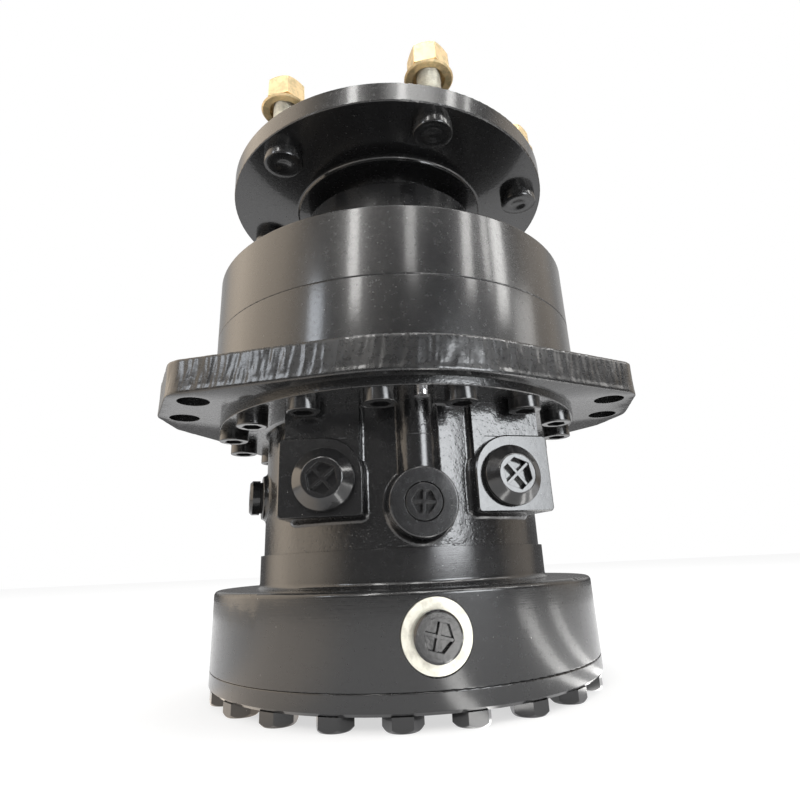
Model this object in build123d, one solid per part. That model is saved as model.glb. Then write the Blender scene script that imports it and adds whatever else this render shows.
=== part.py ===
from build123d import *
from math import atan, atan2, cos, degrees, pi, radians, sin, sqrt, tan
import os

os.makedirs("parts", exist_ok=True)

# Hydraulic drive motor: a radial piston wheel motor with a multi-disc parking brake.
# Millimetres. The origin is the centre of the wheel-mounting face, on the shaft axis.
# +Z leaves the wheel face, -Y is the side with the oil ports and the brake port.
# Azimuths are in degrees from -Y, growing towards +X.

# Heights of the outer layers, from the wheel face down
wheel_flange_thick = 14.5
hub_step = 2.5
hub_gap = 13.0
nose_length = 65.0
drum_head_thick = 40.0
cam_ring_thick = 35.0
plate_thick = 20.0
port_flange_thick = 10.5
port_body_height = 71.5
collar_height = 18.5
brake_drum_height = 41.0
brake_cover_thick = 9.0

# Outer radii
wheel_flange_r = 120.0
hub_r = 71.0
nose_r = 66.0
nose_flare = 16.0
drum_r = 124.0
plate_front_r = 127.5
port_flange_r = 121.0
port_body_r = 88.0
collar_r = 90.0
brake_r = 116.0

# Small edge rounds
rim_round = 0.6
flange_round = 1.0
screw_edge_ratio = 0.13

# Fits between pieces
press_gap = 0.02
running_gap = 0.05
loose_gap = 0.3

# Wheel flange, pilot, studs and nuts
pilot_r = 80.0
pilot_height = 8.0
pilot_recess_r = 62.0
pilot_recess_depth = 5.0
centre_hole_r = 8.0
centre_hole_depth = 30.0
stud_count = 6
stud_circle_r = 102.5
stud_phase = 10.0
stud_r = 9.0
stud_knurl_r = 9.6
stud_thread_r = 8.8
stud_neck_r = 8.8
stud_neck_end = 0.5
stud_plain_end = 24.5
stud_knurl_drop = 0.5
stud_head_r = 12.5
stud_head_thick = 6.0
stud_reach = 56.0
nut_seat_height = 25.0
nut_flange_r = 16.3
nut_flange_thick = 5.0
nut_height = 29.0
nut_across_flats = 25.0
nut_bevel = 2.2
nut_recess_r = 10.8
nut_recess_depth = 4.0

# Output shaft
seal_land_r = 50.0
upper_seat_r = 37.5
middle_shaft_r = 36.0
lower_seat_r = 32.5
nut_thread_r = 32.0
spline_r = 31.0
spline_depth = 2.5
spline_count = 12
spline_width = 7.0

# Bearings
seal_thick = 10.0
seal_recess = 1.0
upper_cup_r = 57.5
lower_cup_r = 55.0
bearing_width = 25.0
cup_land_r = 50.0
cup_land_length = 26.0
race_angle = 13.0
roller_count = 16
roller_length = 16.0
upper_roller_r = 5.6
lower_roller_r = 6.0
cage_thick = 1.6
cage_rim = 2.0
bearing_nut_r = 46.0
bearing_nut_thick = 10.0
bearing_nut_slots = 4

# Cam ring, cylinder block, pistons and rollers
lobe_count = 6
cam_roller_path_r = 86.0
piston_stroke = 10.0
cam_phase = 7.5
piston_count = 8
piston_r = 15.0
piston_inner_r = 47.0
piston_cradle_wrap = 3.0
piston_bore_floor_r = 44.0
piston_hollow_r = 8.0
piston_hollow_depth = 12.0
cam_roller_r = 9.5
cam_roller_length = 22.0
cam_roller_slack = 0.3
block_r = 89.0
block_thick = 40.0
feed_circle_r = 46.0
feed_hole_r = 4.5
case_bore_r = 92.0
case_recess_depth = 4.0

# Mounting plate with two ears, each with two holes
ear_front_x = 122.2
ear_front_y = -73.0
ear_rear_x = 135.4
ear_rear_y = -37.0
ear_back_x = 130.0
ear_back_y = -12.0
ear_round_r = 15.5
ear_back_round_r = 18.0
plate_hole_r = 8.75

# Screws and pins through the layers
layer_screw_count = 16
layer_screw_circle_r = 111.0
layer_screw_phase = 11.25
layer_screw_r = 6.0
layer_screw_head_r = 9.0
layer_screw_head_height = 12.0
layer_screw_grip = 24.0
layer_screw_socket = 10.0
screw_hole_slack = 0.3
dowel_r = 4.0
dowel_azimuth = 0.0
dowel_grip = 12.0

# Port housing casting
cast_fillet = 3.0
pad_turn = 9.0
pad_distance = 95.5
pad_inner = 15.3
pad_outer = 59.8
pad_top_drop = 14.0
pad_height = 41.5
pad_corner_r = 2.5
pad_edge_break = 0.7
pad_round_r = 21.0
pad_depth = 45.0
land_distance = 91.0
land_side_inset = 2.0
column_r = 11.5
column_offset = 84.0
boss_distance = 101.0
boss_r = 18.0
boss_edge_round = 1.2
boss_drop = 50.0
boss_depth = 30.0
side_boss_azimuth = 80.0
side_boss_distance = 91.0
side_boss_r = 13.5

# Plugs of the port housing
port_plug_side = 35.5
port_plug_drop = 36.5
port_plug_head_r = 16.3
port_plug_head_thick = 7.0
port_plug_thread_r = 13.0
port_plug_thread_length = 14.0
port_passage_r = 3.0
plug_seal_thick = 1.5
plug_socket_depth = 4.0
plug_rib_width = 1.5
plug_rib_drop = 0.6
port_plug_socket = 15.0
port_plug_crown_r = 10.5
port_plug_rim = 2.0
boss_plug_r = 10.0
boss_plug_thread_r = 7.0
boss_plug_inset = 6.0
boss_plug_socket = 11.5
boss_plug_length = 14.0
side_plug_head_r = 10.5
side_plug_head_thick = 6.0
side_plug_socket = 11.0

# Distributor, its seals and its spring
distributor_head_r = 66.0
distributor_r = 58.0
distributor_bore_r = 22.0
distributor_head_length = 12.0
distributor_length = 75.0
distributor_spring_height = 4.0
distributor_spring_thick = 1.6
channel_depth = 4.0
channel_width = 5.0
channel_spacing = 12.0
channel_side = 6.0
ring_groove_width = 3.0
ring_groove_depth = 2.5
lock_pin_r = 3.0
lock_pin_length = 14.0
lock_pin_circle_r = 50.0

# Brake shaft and its seal
brake_shaft_r = 18.0
brake_shaft_grip = 28.0
shaft_seal_r = 27.0
shaft_seal_thick = 8.0
brake_hub_r = 36.0
brake_key_r = 41.0
brake_key_width = 9.0
brake_key_count = 8

# Brake pack, piston and spring
disc_count = 5
disc_thick = 2.0
disc_outer_r = 70.5
steel_inner_r = 44.0
steel_outer_r = 71.5
pack_bore_r = 72.0
lug_count = 6
lug_width = 12.0
lug_reach = 3.5
pack_gap = 0.05
brake_piston_r = 98.0
brake_piston_inner_r = 44.0
brake_piston_shoulder_thick = 11.0
brake_chamber_height = 4.0
brake_passage_r = 1.5
disc_spring_thick = 4.5
disc_spring_outer_r = 92.0
disc_spring_inner_r = 58.0
brake_shoulder_depth = 16.5
brake_edge_round = 2.5
inner_screw_count = 12
inner_screw_circle_r = 82.0
inner_screw_phase = 180 / inner_screw_count
inner_screw_r = 4.0
inner_screw_head_r = 6.5
inner_screw_head_height = 8.0
inner_screw_grip = 14.0
inner_screw_socket = 6.0

# Brake cover, its bolts and the brake port plug
cover_bolt_count = 22
cover_bolt_circle_r = 107.0
cover_bolt_r = 5.0
cover_bolt_across_flats = 16.0
cover_bolt_head_height = 6.4
cover_bolt_bevel = 1.6
cover_bolt_grip = 18.0
cover_bolt_phase = 180 / cover_bolt_count
cover_edge_chamfer = 1.5
brake_port_drop = 19.5
brake_port_face = 114.4
brake_port_face_r = 16.6
brake_washer_r = 16.0
brake_washer_thick = 1.6
brake_plug_head_r = 11.0
brake_plug_head_thick = 4.4
brake_plug_thread_r = 8.0
brake_plug_thread_length = 7.5
brake_plug_socket = 12.0
brake_plug_socket_depth = 3.0

# Seal rings in the faces between the layers
joint_seal_width = 2.0
joint_seal_height = 1.6
drum_seal_r = 101.3
flange_seal_r = 96.0
collar_seal_r = 74.0
cover_seal_r = 98.6

# Heights of the faces between the layers
flange_low = -wheel_flange_thick
hub_low = flange_low - hub_step
nose_top = hub_low - hub_gap
drum_top = nose_top - nose_length
cam_top = drum_top - drum_head_thick
plate_top = cam_top - cam_ring_thick
plate_low = plate_top - plate_thick
port_flange_low = plate_low - port_flange_thick
port_low = port_flange_low - port_body_height
brake_top = port_low - collar_height
cover_top = brake_top - brake_drum_height
cover_low = cover_top - brake_cover_thick

# Heights inside
seal_top = nose_top - seal_recess
upper_bearing_top = seal_top - seal_thick - seal_recess
upper_bearing_low = upper_bearing_top - bearing_width
lower_bearing_top = upper_bearing_low - cup_land_length
lower_bearing_low = lower_bearing_top - bearing_width
block_middle = cam_top - cam_ring_thick / 2
block_top = block_middle + block_thick / 2
block_low = block_middle - block_thick / 2
distributor_top = block_low - running_gap
distributor_low = distributor_top - distributor_length
cavity_low = distributor_low - distributor_spring_height
pack_top = port_low
pack_height = (2 * disc_count + 1) * disc_thick + 2 * disc_count * pack_gap
pack_low = pack_top - pack_height
piston_nose_top = pack_low - pack_gap
brake_shoulder = brake_top - brake_shoulder_depth
piston_shoulder = brake_shoulder - brake_chamber_height
brake_piston_low = piston_shoulder - brake_piston_shoulder_thick
brake_port_height = brake_top - brake_port_drop
pad_top = port_flange_low - pad_top_drop
port_plug_height = port_flange_low - port_plug_drop
boss_height = port_flange_low - boss_drop
piston_rest_r = cam_roller_path_r - piston_stroke / 2 - cam_roller_slack


def disc(radius, low, high):
    """Solid cylinder about the shaft axis between two heights."""
    return Pos(0, 0, (low + high) / 2) * Cylinder(radius, high - low)


def ring(outer, inner, low, high):
    """Plain ring about the shaft axis between two heights."""
    return disc(outer, low, high) - disc(inner, low - 1, high + 1)


def half_section(points, rounds=()):
    """Face from (radius, height) points; rounds lists (point number, radius) of rounded corners."""
    face = make_face(Polyline(*points, close=True))
    for number, radius in rounds:
        corner = Vector(*points[number])
        vertex = min(face.vertices(), key=lambda v: (Vector(v.X, v.Y) - corner).length)
        face = fillet(vertex, radius)
    return face


def turned(points, rounds=()):
    """Body of revolution about the shaft axis."""
    return revolve(Plane.XZ * half_section(points, rounds), Axis.Z)


def around(radius, azimuth, height):
    """Plane that faces outwards at an azimuth, with its own y along +Z."""
    a = radians(azimuth)
    return Plane(
        origin=(radius * sin(a), -radius * cos(a), height),
        x_dir=(cos(a), sin(a), 0),
        z_dir=(sin(a), -cos(a), 0),
    )


def spots(count, radius, phase=0.0):
    """Places on a circle about the shaft axis, as azimuths."""
    pitch = 360 / count
    return [Pos(*around(radius, phase + k * pitch, 0).origin) for k in range(count)]


def round_pins(places, radius, low, high):
    """Equal upright cylinders, one at each place."""
    return [place * disc(radius, low, high) for place in places]


def hexagon(across_flats, low, high):
    """Upright hexagonal prism on the shaft axis."""
    face = RegularPolygon(across_flats / 2, 6, major_radius=False)
    return Pos(0, 0, low) * extrude(face, high - low)


def crowned_hexagon(across_flats, height, bevel):
    """Upright hexagonal prism from z = 0, with the corners of its top turned down."""
    corner = across_flats / sqrt(3)
    crown = turned([(0, 0), (corner, 0), (corner, height - bevel), (corner - bevel, height), (0, height)])
    return hexagon(across_flats, 0, height) & crown


def cap_screw(head_radius, head_height, radius, seat, length, socket_flats):
    """Socket-head screw whose head hangs below its seat and whose shank goes up."""
    head = disc(head_radius, seat - head_height, seat)
    head = fillet(head.edges().group_by(Axis.Z)[0], head_radius * screw_edge_ratio)
    socket = hexagon(socket_flats, seat - head_height, seat - head_height / 2)
    return head - socket + disc(radius, seat, seat + length)


def save(name, shape):
    """Write one node as a STEP file."""
    solids = shape.solids() if hasattr(shape, "solids") else [s for x in shape for s in x.solids()]
    export_step(Compound(children=list(solids)) if len(solids) > 1 else solids[0], f"parts/{name}.step")


# Output side


def keyed_face(core_r, key_r, key_width, count, gap=0.0):
    """Section of a splined shaft, or of the bore around it when a gap is given."""
    face = Circle(core_r + gap)
    key = Rectangle(key_r + gap, key_width + 2 * gap, align=(Align.MIN, Align.CENTER))
    for k in range(count):
        face += Rot(0, 0, k * 360 / count) * key
    return face


def splined(core_r, key_r, key_width, count, low, high, gap=0.0):
    """Splined length of a shaft, or of the bore around it when a gap is given."""
    return Pos(0, 0, low) * extrude(keyed_face(core_r, key_r, key_width, count, gap), high - low)


def output_shaft():
    """Wheel flange, hub and shaft in one forging."""
    spline_top = lower_bearing_low - bearing_nut_thick
    body = turned(
        [
            (0, pilot_height - pilot_recess_depth),
            (pilot_recess_r, pilot_height - pilot_recess_depth),
            (pilot_recess_r, pilot_height),
            (pilot_r, pilot_height),
            (pilot_r, 0),
            (wheel_flange_r, 0),
            (wheel_flange_r, flange_low),
            (hub_r, flange_low),
            (hub_r, hub_low),
            (seal_land_r, hub_low),
            (seal_land_r, upper_bearing_top),
            (upper_seat_r, upper_bearing_top),
            (upper_seat_r, upper_bearing_low - 2),
            (middle_shaft_r, upper_bearing_low - 2),
            (middle_shaft_r, lower_bearing_top),
            (lower_seat_r, lower_bearing_top),
            (lower_seat_r, lower_bearing_low),
            (nut_thread_r, lower_bearing_low),
            (nut_thread_r, spline_top),
            (spline_r - spline_depth, spline_top),
            (spline_r - spline_depth, block_low),
            (0, block_low),
        ],
        rounds=[(5, flange_round), (6, flange_round), (7, hub_step - 0.1)],
    )
    body += splined(spline_r - spline_depth, spline_r, spline_width, spline_count, block_low, spline_top)
    places = spots(stud_count, stud_circle_r, stud_phase)
    body -= round_pins(places, stud_knurl_r + press_gap, flange_low - 1, 1)
    body -= disc(brake_shaft_r + press_gap, block_low - 1, block_low + brake_shaft_grip + 1)
    top = pilot_height - pilot_recess_depth
    return body - disc(centre_hole_r, top - centre_hole_depth, top + 1)


def wheel_stud():
    """Pressed-in stud on the shaft axis: head, knurled part, bare shank and threaded end."""
    head = disc(stud_head_r, flange_low - stud_head_thick, flange_low)
    head = chamfer(head.edges().group_by(Axis.Z)[0], 1.2)
    knurl = disc(stud_knurl_r, flange_low, -stud_knurl_drop)
    neck = disc(stud_neck_r, -stud_knurl_drop, stud_neck_end)
    plain = disc(stud_r, stud_neck_end, stud_plain_end)
    thread = chamfer(disc(stud_thread_r, stud_plain_end, stud_reach).edges().group_by(Axis.Z)[-1], 1.5)
    return head + knurl + neck + plain + thread


def wheel_nut():
    """Flanged hexagon nut on the shaft axis, near the stud's end."""
    flange_top = nut_seat_height + nut_flange_thick
    hexagon_height = nut_height - nut_flange_thick
    cone = turned(
        [
            (0, nut_seat_height),
            (nut_flange_r - 1.0, nut_seat_height),
            (nut_flange_r, nut_seat_height + 1.0),
            (nut_across_flats / 2, flange_top),
            (0, flange_top),
        ]
    )
    body = cone + Pos(0, 0, flange_top) * crowned_hexagon(nut_across_flats, hexagon_height, nut_bevel)
    body -= disc(nut_recess_r, nut_seat_height - 1, nut_seat_height + nut_recess_depth)
    return body - disc(stud_thread_r + press_gap, nut_seat_height - 1, nut_seat_height + nut_height + 1)


def at_studs(piece):
    """The piece repeated at every wheel stud."""
    place = Rot(0, 0, stud_phase) * Pos(0, -stud_circle_r, 0)
    return [Rot(0, 0, k * 360 / stud_count) * place * piece for k in range(stud_count)]


# Taper roller bearings: the races and the rollers share one apex on the shaft axis


class TaperBearing:
    """One taper roller bearing; facing is +1 when the rollers' large ends point up."""

    def __init__(self, bore, cup, low, roller_r, facing):
        self.bore = bore
        self.cup = cup
        self.low = low
        self.high = low + bearing_width
        self.facing = facing
        self.roller_r = roller_r
        self.middle = (self.low + self.high) / 2
        self.pitch_r = (bore + cup) / 2
        self.reach = self.pitch_r / sin(radians(race_angle))
        self.half_cone = degrees(atan(roller_r / self.reach))
        self.apex = self.middle - facing * self.reach * cos(radians(race_angle))

    def race_r(self, side, height):
        """Radius of the outer (+1) or inner (-1) race at a height."""
        slack = degrees(running_gap / self.reach)
        angle = radians(race_angle + side * (self.half_cone + slack))
        return abs(height - self.apex) * tan(angle)

    def outer_ring(self):
        """The cup."""
        return turned(
            [
                (self.cup, self.low),
                (self.cup, self.high),
                (self.race_r(1, self.high), self.high),
                (self.race_r(1, self.low), self.low),
            ]
        )

    def inner_ring(self):
        """The cone with a rib at each end of its race."""
        tilt = radians(race_angle)
        half = roller_length / 2 * cos(tilt) + loose_gap + self.roller_r * sin(tilt)
        large = self.middle + self.facing * half
        small = self.middle - self.facing * half
        large_end = self.high if self.facing > 0 else self.low
        small_end = self.low if self.facing > 0 else self.high
        bore = self.bore + press_gap
        return turned(
            [
                (bore, small_end),
                (self.race_r(-1, small) + 1.2, small_end),
                (self.race_r(-1, small) + 1.2, small),
                (self.race_r(-1, small), small),
                (self.race_r(-1, large), large),
                (self.race_r(-1, large) + 2.4, large),
                (self.race_r(-1, large) + 2.4, large_end),
                (bore, large_end),
            ]
        )

    def roller(self, slack=0.0):
        """One tapered roller in its place at azimuth 90, with room around it if slack is given."""
        half = roller_length / 2 + slack
        small = (self.reach - half) * tan(radians(self.half_cone)) + slack
        large = (self.reach + half) * tan(radians(self.half_cone)) + slack
        cone = Cone(small, large, 2 * half)
        if self.facing < 0:
            cone = Rot(180, 0, 0) * cone
        return Pos(self.pitch_r, 0, self.middle) * Rot(0, self.facing * race_angle, 0) * cone

    def rollers(self):
        """All the rollers."""
        return [Rot(0, 0, k * 360 / roller_count) * self.roller() for k in range(roller_count)]

    def cage(self):
        """Pressed cage: a thin cone along the rollers' axes with one window for each roller."""
        slope = tan(radians(race_angle)) * self.facing
        half = roller_length / 2 * cos(radians(race_angle)) + loose_gap + cage_rim
        wall = cage_thick / 2
        low, high = self.middle - half, self.middle + half
        shell = turned(
            [
                (self.pitch_r - half * slope - wall, low),
                (self.pitch_r - half * slope + wall, low),
                (self.pitch_r + half * slope + wall, high),
                (self.pitch_r + half * slope - wall, high),
            ]
        )
        window = self.roller(loose_gap)
        return shell - [Rot(0, 0, k * 360 / roller_count) * window for k in range(roller_count)]


def bearing_nut():
    """Slotted ring nut that holds the lower bearing on the shaft."""
    low = lower_bearing_low - bearing_nut_thick
    body = ring(bearing_nut_r, nut_thread_r + press_gap, low, lower_bearing_low)
    slot = Pos(bearing_nut_r, 0, (low + lower_bearing_low) / 2) * Box(8, 8, bearing_nut_thick + 2)
    return body - [Rot(0, 0, k * 360 / bearing_nut_slots) * slot for k in range(bearing_nut_slots)]


def shaft_seal():
    """Lip seal of the output shaft in the nose."""
    low = seal_top - seal_thick
    return turned(
        [
            (upper_cup_r, low),
            (upper_cup_r, seal_top),
            (seal_land_r + 2, seal_top),
            (seal_land_r + running_gap, seal_top - 2),
            (seal_land_r + running_gap, seal_top - 5),
            (seal_land_r + 3, seal_top - 6),
            (seal_land_r + 3, low),
        ]
    )


# Cylinder block, pistons and cam ring


def cylinder_block():
    """Block with radial piston bores, splined to the output shaft."""
    body = disc(block_r, block_low, block_top)
    body = chamfer(body.edges().group_by(Axis.Z)[0] + body.edges().group_by(Axis.Z)[-1], 1.5)
    body -= splined(
        spline_r - spline_depth, spline_r, spline_width, spline_count, block_low - 1, block_top + 1, press_gap
    )
    depth = block_r + 2 - piston_bore_floor_r
    middle = piston_bore_floor_r + depth / 2
    for k in range(piston_count):
        plane = around(middle, k * 360 / piston_count, block_middle)
        body -= plane * Cylinder(piston_r + running_gap, depth)
    feeds = spots(piston_count, feed_circle_r + feed_hole_r)
    return body - round_pins(feeds, feed_hole_r, block_low - 1, block_middle - piston_r + 4)


def piston():
    """Piston along its own +Z, with the roller's cradle at its outer end and a hollow inner end."""
    top = piston_rest_r + piston_cradle_wrap
    body = disc(piston_r, piston_inner_r, top)
    body = chamfer(body.edges().group_by(Axis.Z)[0], 0.8)
    cradle = Pos(0, 0, piston_rest_r) * Rot(90, 0, 0) * Cylinder(cam_roller_r + running_gap, 4 * piston_r)
    return body - cradle - disc(piston_hollow_r, piston_inner_r - 1, piston_inner_r + piston_hollow_depth)


def cam_roller():
    """Roller that a piston pushes against the cam, on the piston's own axes."""
    body = chamfer(Cylinder(cam_roller_r, cam_roller_length).edges().filter_by(GeomType.CIRCLE), 0.6)
    return Pos(0, 0, piston_rest_r) * Rot(90, 0, 0) * body


def in_bore(piece, number):
    """The piece set on the axis of one piston bore."""
    return around(0, number * 360 / piston_count, block_middle) * piece


def cam_point(turn):
    """Point of the cam surface whose roller centre stands at this angle from a lobe's low point."""
    swing = piston_stroke / 2
    r = cam_roller_path_r - swing * cos(lobe_count * turn)
    slope = swing * lobe_count * sin(lobe_count * turn)
    tilt = atan2(slope, r)
    return (
        r * cos(turn) + cam_roller_r * cos(turn - tilt),
        r * sin(turn) + cam_roller_r * sin(turn - tilt),
    )


def cam_outline():
    """Closed wavy line: one lobe drawn as a spline through the cam curve, then repeated."""
    pitch = 2 * pi / lobe_count
    steps = 10
    points = [cam_point(pitch * k / steps) for k in range(steps + 1)]
    start = (0, 1)
    end = (-sin(pitch), cos(pitch))
    lobe = Spline(*points, tangents=(start, end))
    return make_face([Rot(0, 0, degrees(pitch) * k) * lobe for k in range(lobe_count)])


def cam_ring():
    """Middle layer of the drum, with the wavy cam inside."""
    low_point = cam_phase + 180 / lobe_count - 90
    body = disc(drum_r, plate_top, cam_top)
    body = fillet(body.edges().filter_by(GeomType.CIRCLE), rim_round)
    body -= Pos(0, 0, plate_top - 1) * extrude(Rot(0, 0, low_point) * cam_outline(), cam_ring_thick + 2)
    body -= layer_holes(plate_top - 1, cam_top + 1)
    return body - seal_groove(drum_seal_r, plate_top, 1)


def layer_holes(low, high):
    """Clearance holes of the layer screws, and the two dowel holes."""
    places = spots(layer_screw_count, layer_screw_circle_r, layer_screw_phase)
    screws = round_pins(places, layer_screw_r + screw_hole_slack, low, high)
    dowels = round_pins(spots(2, layer_screw_circle_r, dowel_azimuth), dowel_r + press_gap, low, high)
    return screws + dowels


def seal_groove(inner, face, side):
    """Groove for a joint seal cut from a face, upwards (+1) or downwards (-1)."""
    far = face + side * (joint_seal_height + press_gap)
    near = face - side
    return ring(inner + joint_seal_width + press_gap, inner - press_gap, min(far, near), max(far, near))


def joint_seals():
    """The five seal rings between the layers."""
    places = [
        (drum_seal_r, cam_top, 1),
        (drum_seal_r, plate_top, 1),
        (flange_seal_r, plate_low, -1),
        (collar_seal_r, port_low, 1),
        (cover_seal_r, cover_top, -1),
    ]
    seals = []
    for inner, face, side in places:
        far = face + side * joint_seal_height
        seals.append(ring(inner + joint_seal_width, inner, min(face, far), max(face, far)))
    return seals


# Housing layers


def bearing_housing():
    """Upper layer of the drum with the nose that carries both bearings."""
    recess = cam_top + case_recess_depth
    body = turned(
        [
            (upper_cup_r, nose_top),
            (nose_r, nose_top),
            (nose_r, drum_top),
            (drum_r, drum_top),
            (drum_r, cam_top),
            (case_bore_r, cam_top),
            (case_bore_r, recess),
            (lower_cup_r + 6, recess),
            (lower_cup_r + 6, lower_bearing_low),
            (lower_cup_r, lower_bearing_low),
            (lower_cup_r, lower_bearing_top),
            (cup_land_r, lower_bearing_top),
            (cup_land_r, upper_bearing_low),
            (upper_cup_r, upper_bearing_low),
        ],
        rounds=[(1, 2.5), (2, nose_flare), (3, 3.0), (4, rim_round)],
    )
    screws = spots(layer_screw_count, layer_screw_circle_r, layer_screw_phase)
    body -= round_pins(screws, layer_screw_r + press_gap, cam_top - 1, cam_top + layer_screw_grip + 2)
    dowels = spots(2, layer_screw_circle_r, dowel_azimuth)
    body -= round_pins(dowels, dowel_r + press_gap, cam_top - 1, cam_top + dowel_grip + 1)
    return body - seal_groove(drum_seal_r, cam_top, 1)


def plate_outline():
    """Round plate with two ears: the hull of the front round and of the rounds at the ears' holes."""
    rounds = [Circle(plate_front_r).edge()]
    for side in (-1, 1):
        rounds.append((Pos(side * ear_front_x, ear_front_y) * Circle(ear_round_r)).edge())
        rounds.append((Pos(side * ear_rear_x, ear_rear_y) * Circle(ear_round_r)).edge())
        rounds.append((Pos(side * ear_back_x, ear_back_y) * Circle(ear_back_round_r)).edge())
    return make_hull(rounds)


def mounting_plate():
    """Flame-cut plate that bolts to the chassis."""
    body = Pos(0, 0, plate_low) * extrude(plate_outline(), plate_thick)
    body -= disc(case_bore_r, plate_low - 1, plate_top + 1)
    body -= layer_holes(plate_low - 1, plate_top + 1)
    for side in (-1, 1):
        body -= Pos(side * ear_front_x, ear_front_y, 0) * disc(plate_hole_r, plate_low - 1, plate_top + 1)
        body -= Pos(side * ear_rear_x, ear_rear_y, 0) * disc(plate_hole_r, plate_low - 1, plate_top + 1)
    return body


def port_pad(side):
    """Raised pad with one big round corner, and the land that joins it to the flange."""
    width = pad_outer - pad_inner
    centre = (pad_inner + pad_outer) / 2
    face = Rectangle(width, pad_height)
    corners = face.vertices().sort_by_distance((-width / 2, pad_height / 2))
    face = fillet(corners[1:], pad_corner_r)
    corner = min(face.vertices(), key=lambda v: (Vector(v.X, v.Y) - Vector(-width / 2, pad_height / 2)).length)
    face = fillet(corner, pad_round_r)
    land_height = pad_top - pad_height / 2 - port_flange_low
    land = Rectangle(width - 2 * land_side_inset, -land_height, align=(Align.CENTER, Align.MIN))
    if side < 0:
        face = mirror(face, Plane.YZ)
    pad = around(pad_distance, side * pad_turn, pad_top - pad_height / 2) * Pos(side * centre, 0, 0)
    back = around(land_distance, side * pad_turn, pad_top - pad_height / 2) * Pos(side * centre, 0, 0)
    raised = extrude(face, -pad_depth)
    raised = chamfer(raised.edges().group_by(Axis.Z)[-1], pad_edge_break)
    return pad * raised + back * extrude(land, -pad_depth)


def plug_bore(radius, depth):
    """Blind hole to cut from the plane z = 0 downwards."""
    return disc(radius, -depth, depth)


def round_boss(radius):
    """Round boss that starts at z = 0 and goes down, with its face's edge rounded."""
    boss = extrude(Circle(radius), -boss_depth)
    return fillet(boss.edges().group_by(Axis.Z)[-1], boss_edge_round)


def on_body_wall(edge):
    """True for an edge that lies on the round wall of the port housing's body."""
    points = [edge.position_at(t) for t in (0, 0.3, 0.5, 0.7, 1)]
    return all(abs(sqrt(p.X**2 + p.Y**2) - port_body_r) < 0.05 and p.Z > port_low + 1 for p in points)


def port_casting():
    """The casting before it is machined: body, flange, pads, column and bosses."""
    body = turned(
        [
            (0, plate_low),
            (port_flange_r, plate_low),
            (port_flange_r, port_flange_low),
            (port_body_r, port_flange_low),
            (port_body_r, port_low),
            (0, port_low),
        ],
        rounds=[(2, rim_round)],
    )
    for side in (-1, 1):
        body += port_pad(side)
        body += side_place(side) * round_boss(side_boss_r)
    body += Pos(0, -column_offset, 0) * disc(column_r, boss_height, port_flange_low)
    body += around(boss_distance, 0, boss_height) * round_boss(boss_r)
    return fillet(body.edges().filter_by(on_body_wall), cast_fillet)


def port_housing():
    """Casting that carries the distributor, the oil ports and the brake housing."""
    body = port_casting()
    body -= disc(distributor_r + running_gap, cavity_low, plate_low + 1)
    body -= disc(brake_shaft_r + loose_gap, port_low - 1, cavity_low + 1)
    body -= disc(shaft_seal_r, port_low - 1, port_low + shaft_seal_thick)
    body -= layer_holes(port_flange_low - 1, plate_low + 1)
    body -= round_pins(
        spots(inner_screw_count, inner_screw_circle_r, inner_screw_phase), inner_screw_r + press_gap,
        port_low - 1, port_low + inner_screw_grip + 1,
    )
    body -= seal_groove(flange_seal_r, plate_low, -1)
    body -= seal_groove(collar_seal_r, port_low, 1)
    body -= lock_pin_hole()

    thread_end = pad_distance - port_plug_thread_length
    for side, channel in ((-1, channel_spacing / 2), (1, -channel_spacing / 2)):
        passage = Pos(side * port_plug_side, -channel, 0)
        body -= port_place(side) * plug_bore(port_plug_thread_r + press_gap, port_plug_thread_length)
        body -= around(thread_end, side * pad_turn, port_plug_height) * passage * plug_bore(
            port_passage_r, thread_end - distributor_r / 2
        )
        body -= side_place(side) * plug_bore(boss_plug_thread_r + press_gap, boss_plug_length)
    body -= boss_place * plug_bore(boss_plug_thread_r + press_gap, boss_plug_length)
    return body - boss_place * plug_bore(boss_plug_r + press_gap, boss_plug_inset)


# Plugs, each built with its face on the plane z = 0 and its head towards +z


def ribbed_socket(across_flats, top, depth, turn):
    """Hexagon socket to cut into a plug's head, with two crossing ribs left standing in it."""
    rib = Pos(0, 0, top - plug_rib_drop - depth / 2) * Box(2 * across_flats, plug_rib_width, depth)
    socket = Rot(0, 0, turn) * (hexagon(across_flats, top - depth, top + 1) - rib - Rot(0, 0, 90) * rib)
    return socket


def domed_plug():
    """Plug of an oil port: a crowned round head on a seal ring."""
    low = plug_seal_thick
    top = low + port_plug_head_thick
    head = turned(
        [
            (0, low),
            (port_plug_head_r - 1.0, low),
            (port_plug_head_r, low + 1.0),
            (port_plug_head_r, low + port_plug_rim),
            (port_plug_crown_r, top),
            (0, top),
        ],
        rounds=[(3, 1.5), (4, 1.5)],
    )
    shank = disc(port_plug_thread_r, 1 - port_plug_thread_length, low)
    return head - ribbed_socket(port_plug_socket, top, plug_socket_depth, 40) + shank


def plug_seal(outer, inner, thick):
    """Flat seal ring under a plug's head."""
    return ring(outer, inner + press_gap, 0, thick)


def boss_plug():
    """Low plug set into the front boss, flush with its face."""
    head = chamfer(disc(boss_plug_r, -boss_plug_inset, 0).edges().group_by(Axis.Z)[-1], 0.8)
    shank = disc(boss_plug_thread_r, 1 - boss_plug_length, -boss_plug_inset)
    return head - ribbed_socket(boss_plug_socket, 0, plug_socket_depth, -5) + shank


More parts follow.
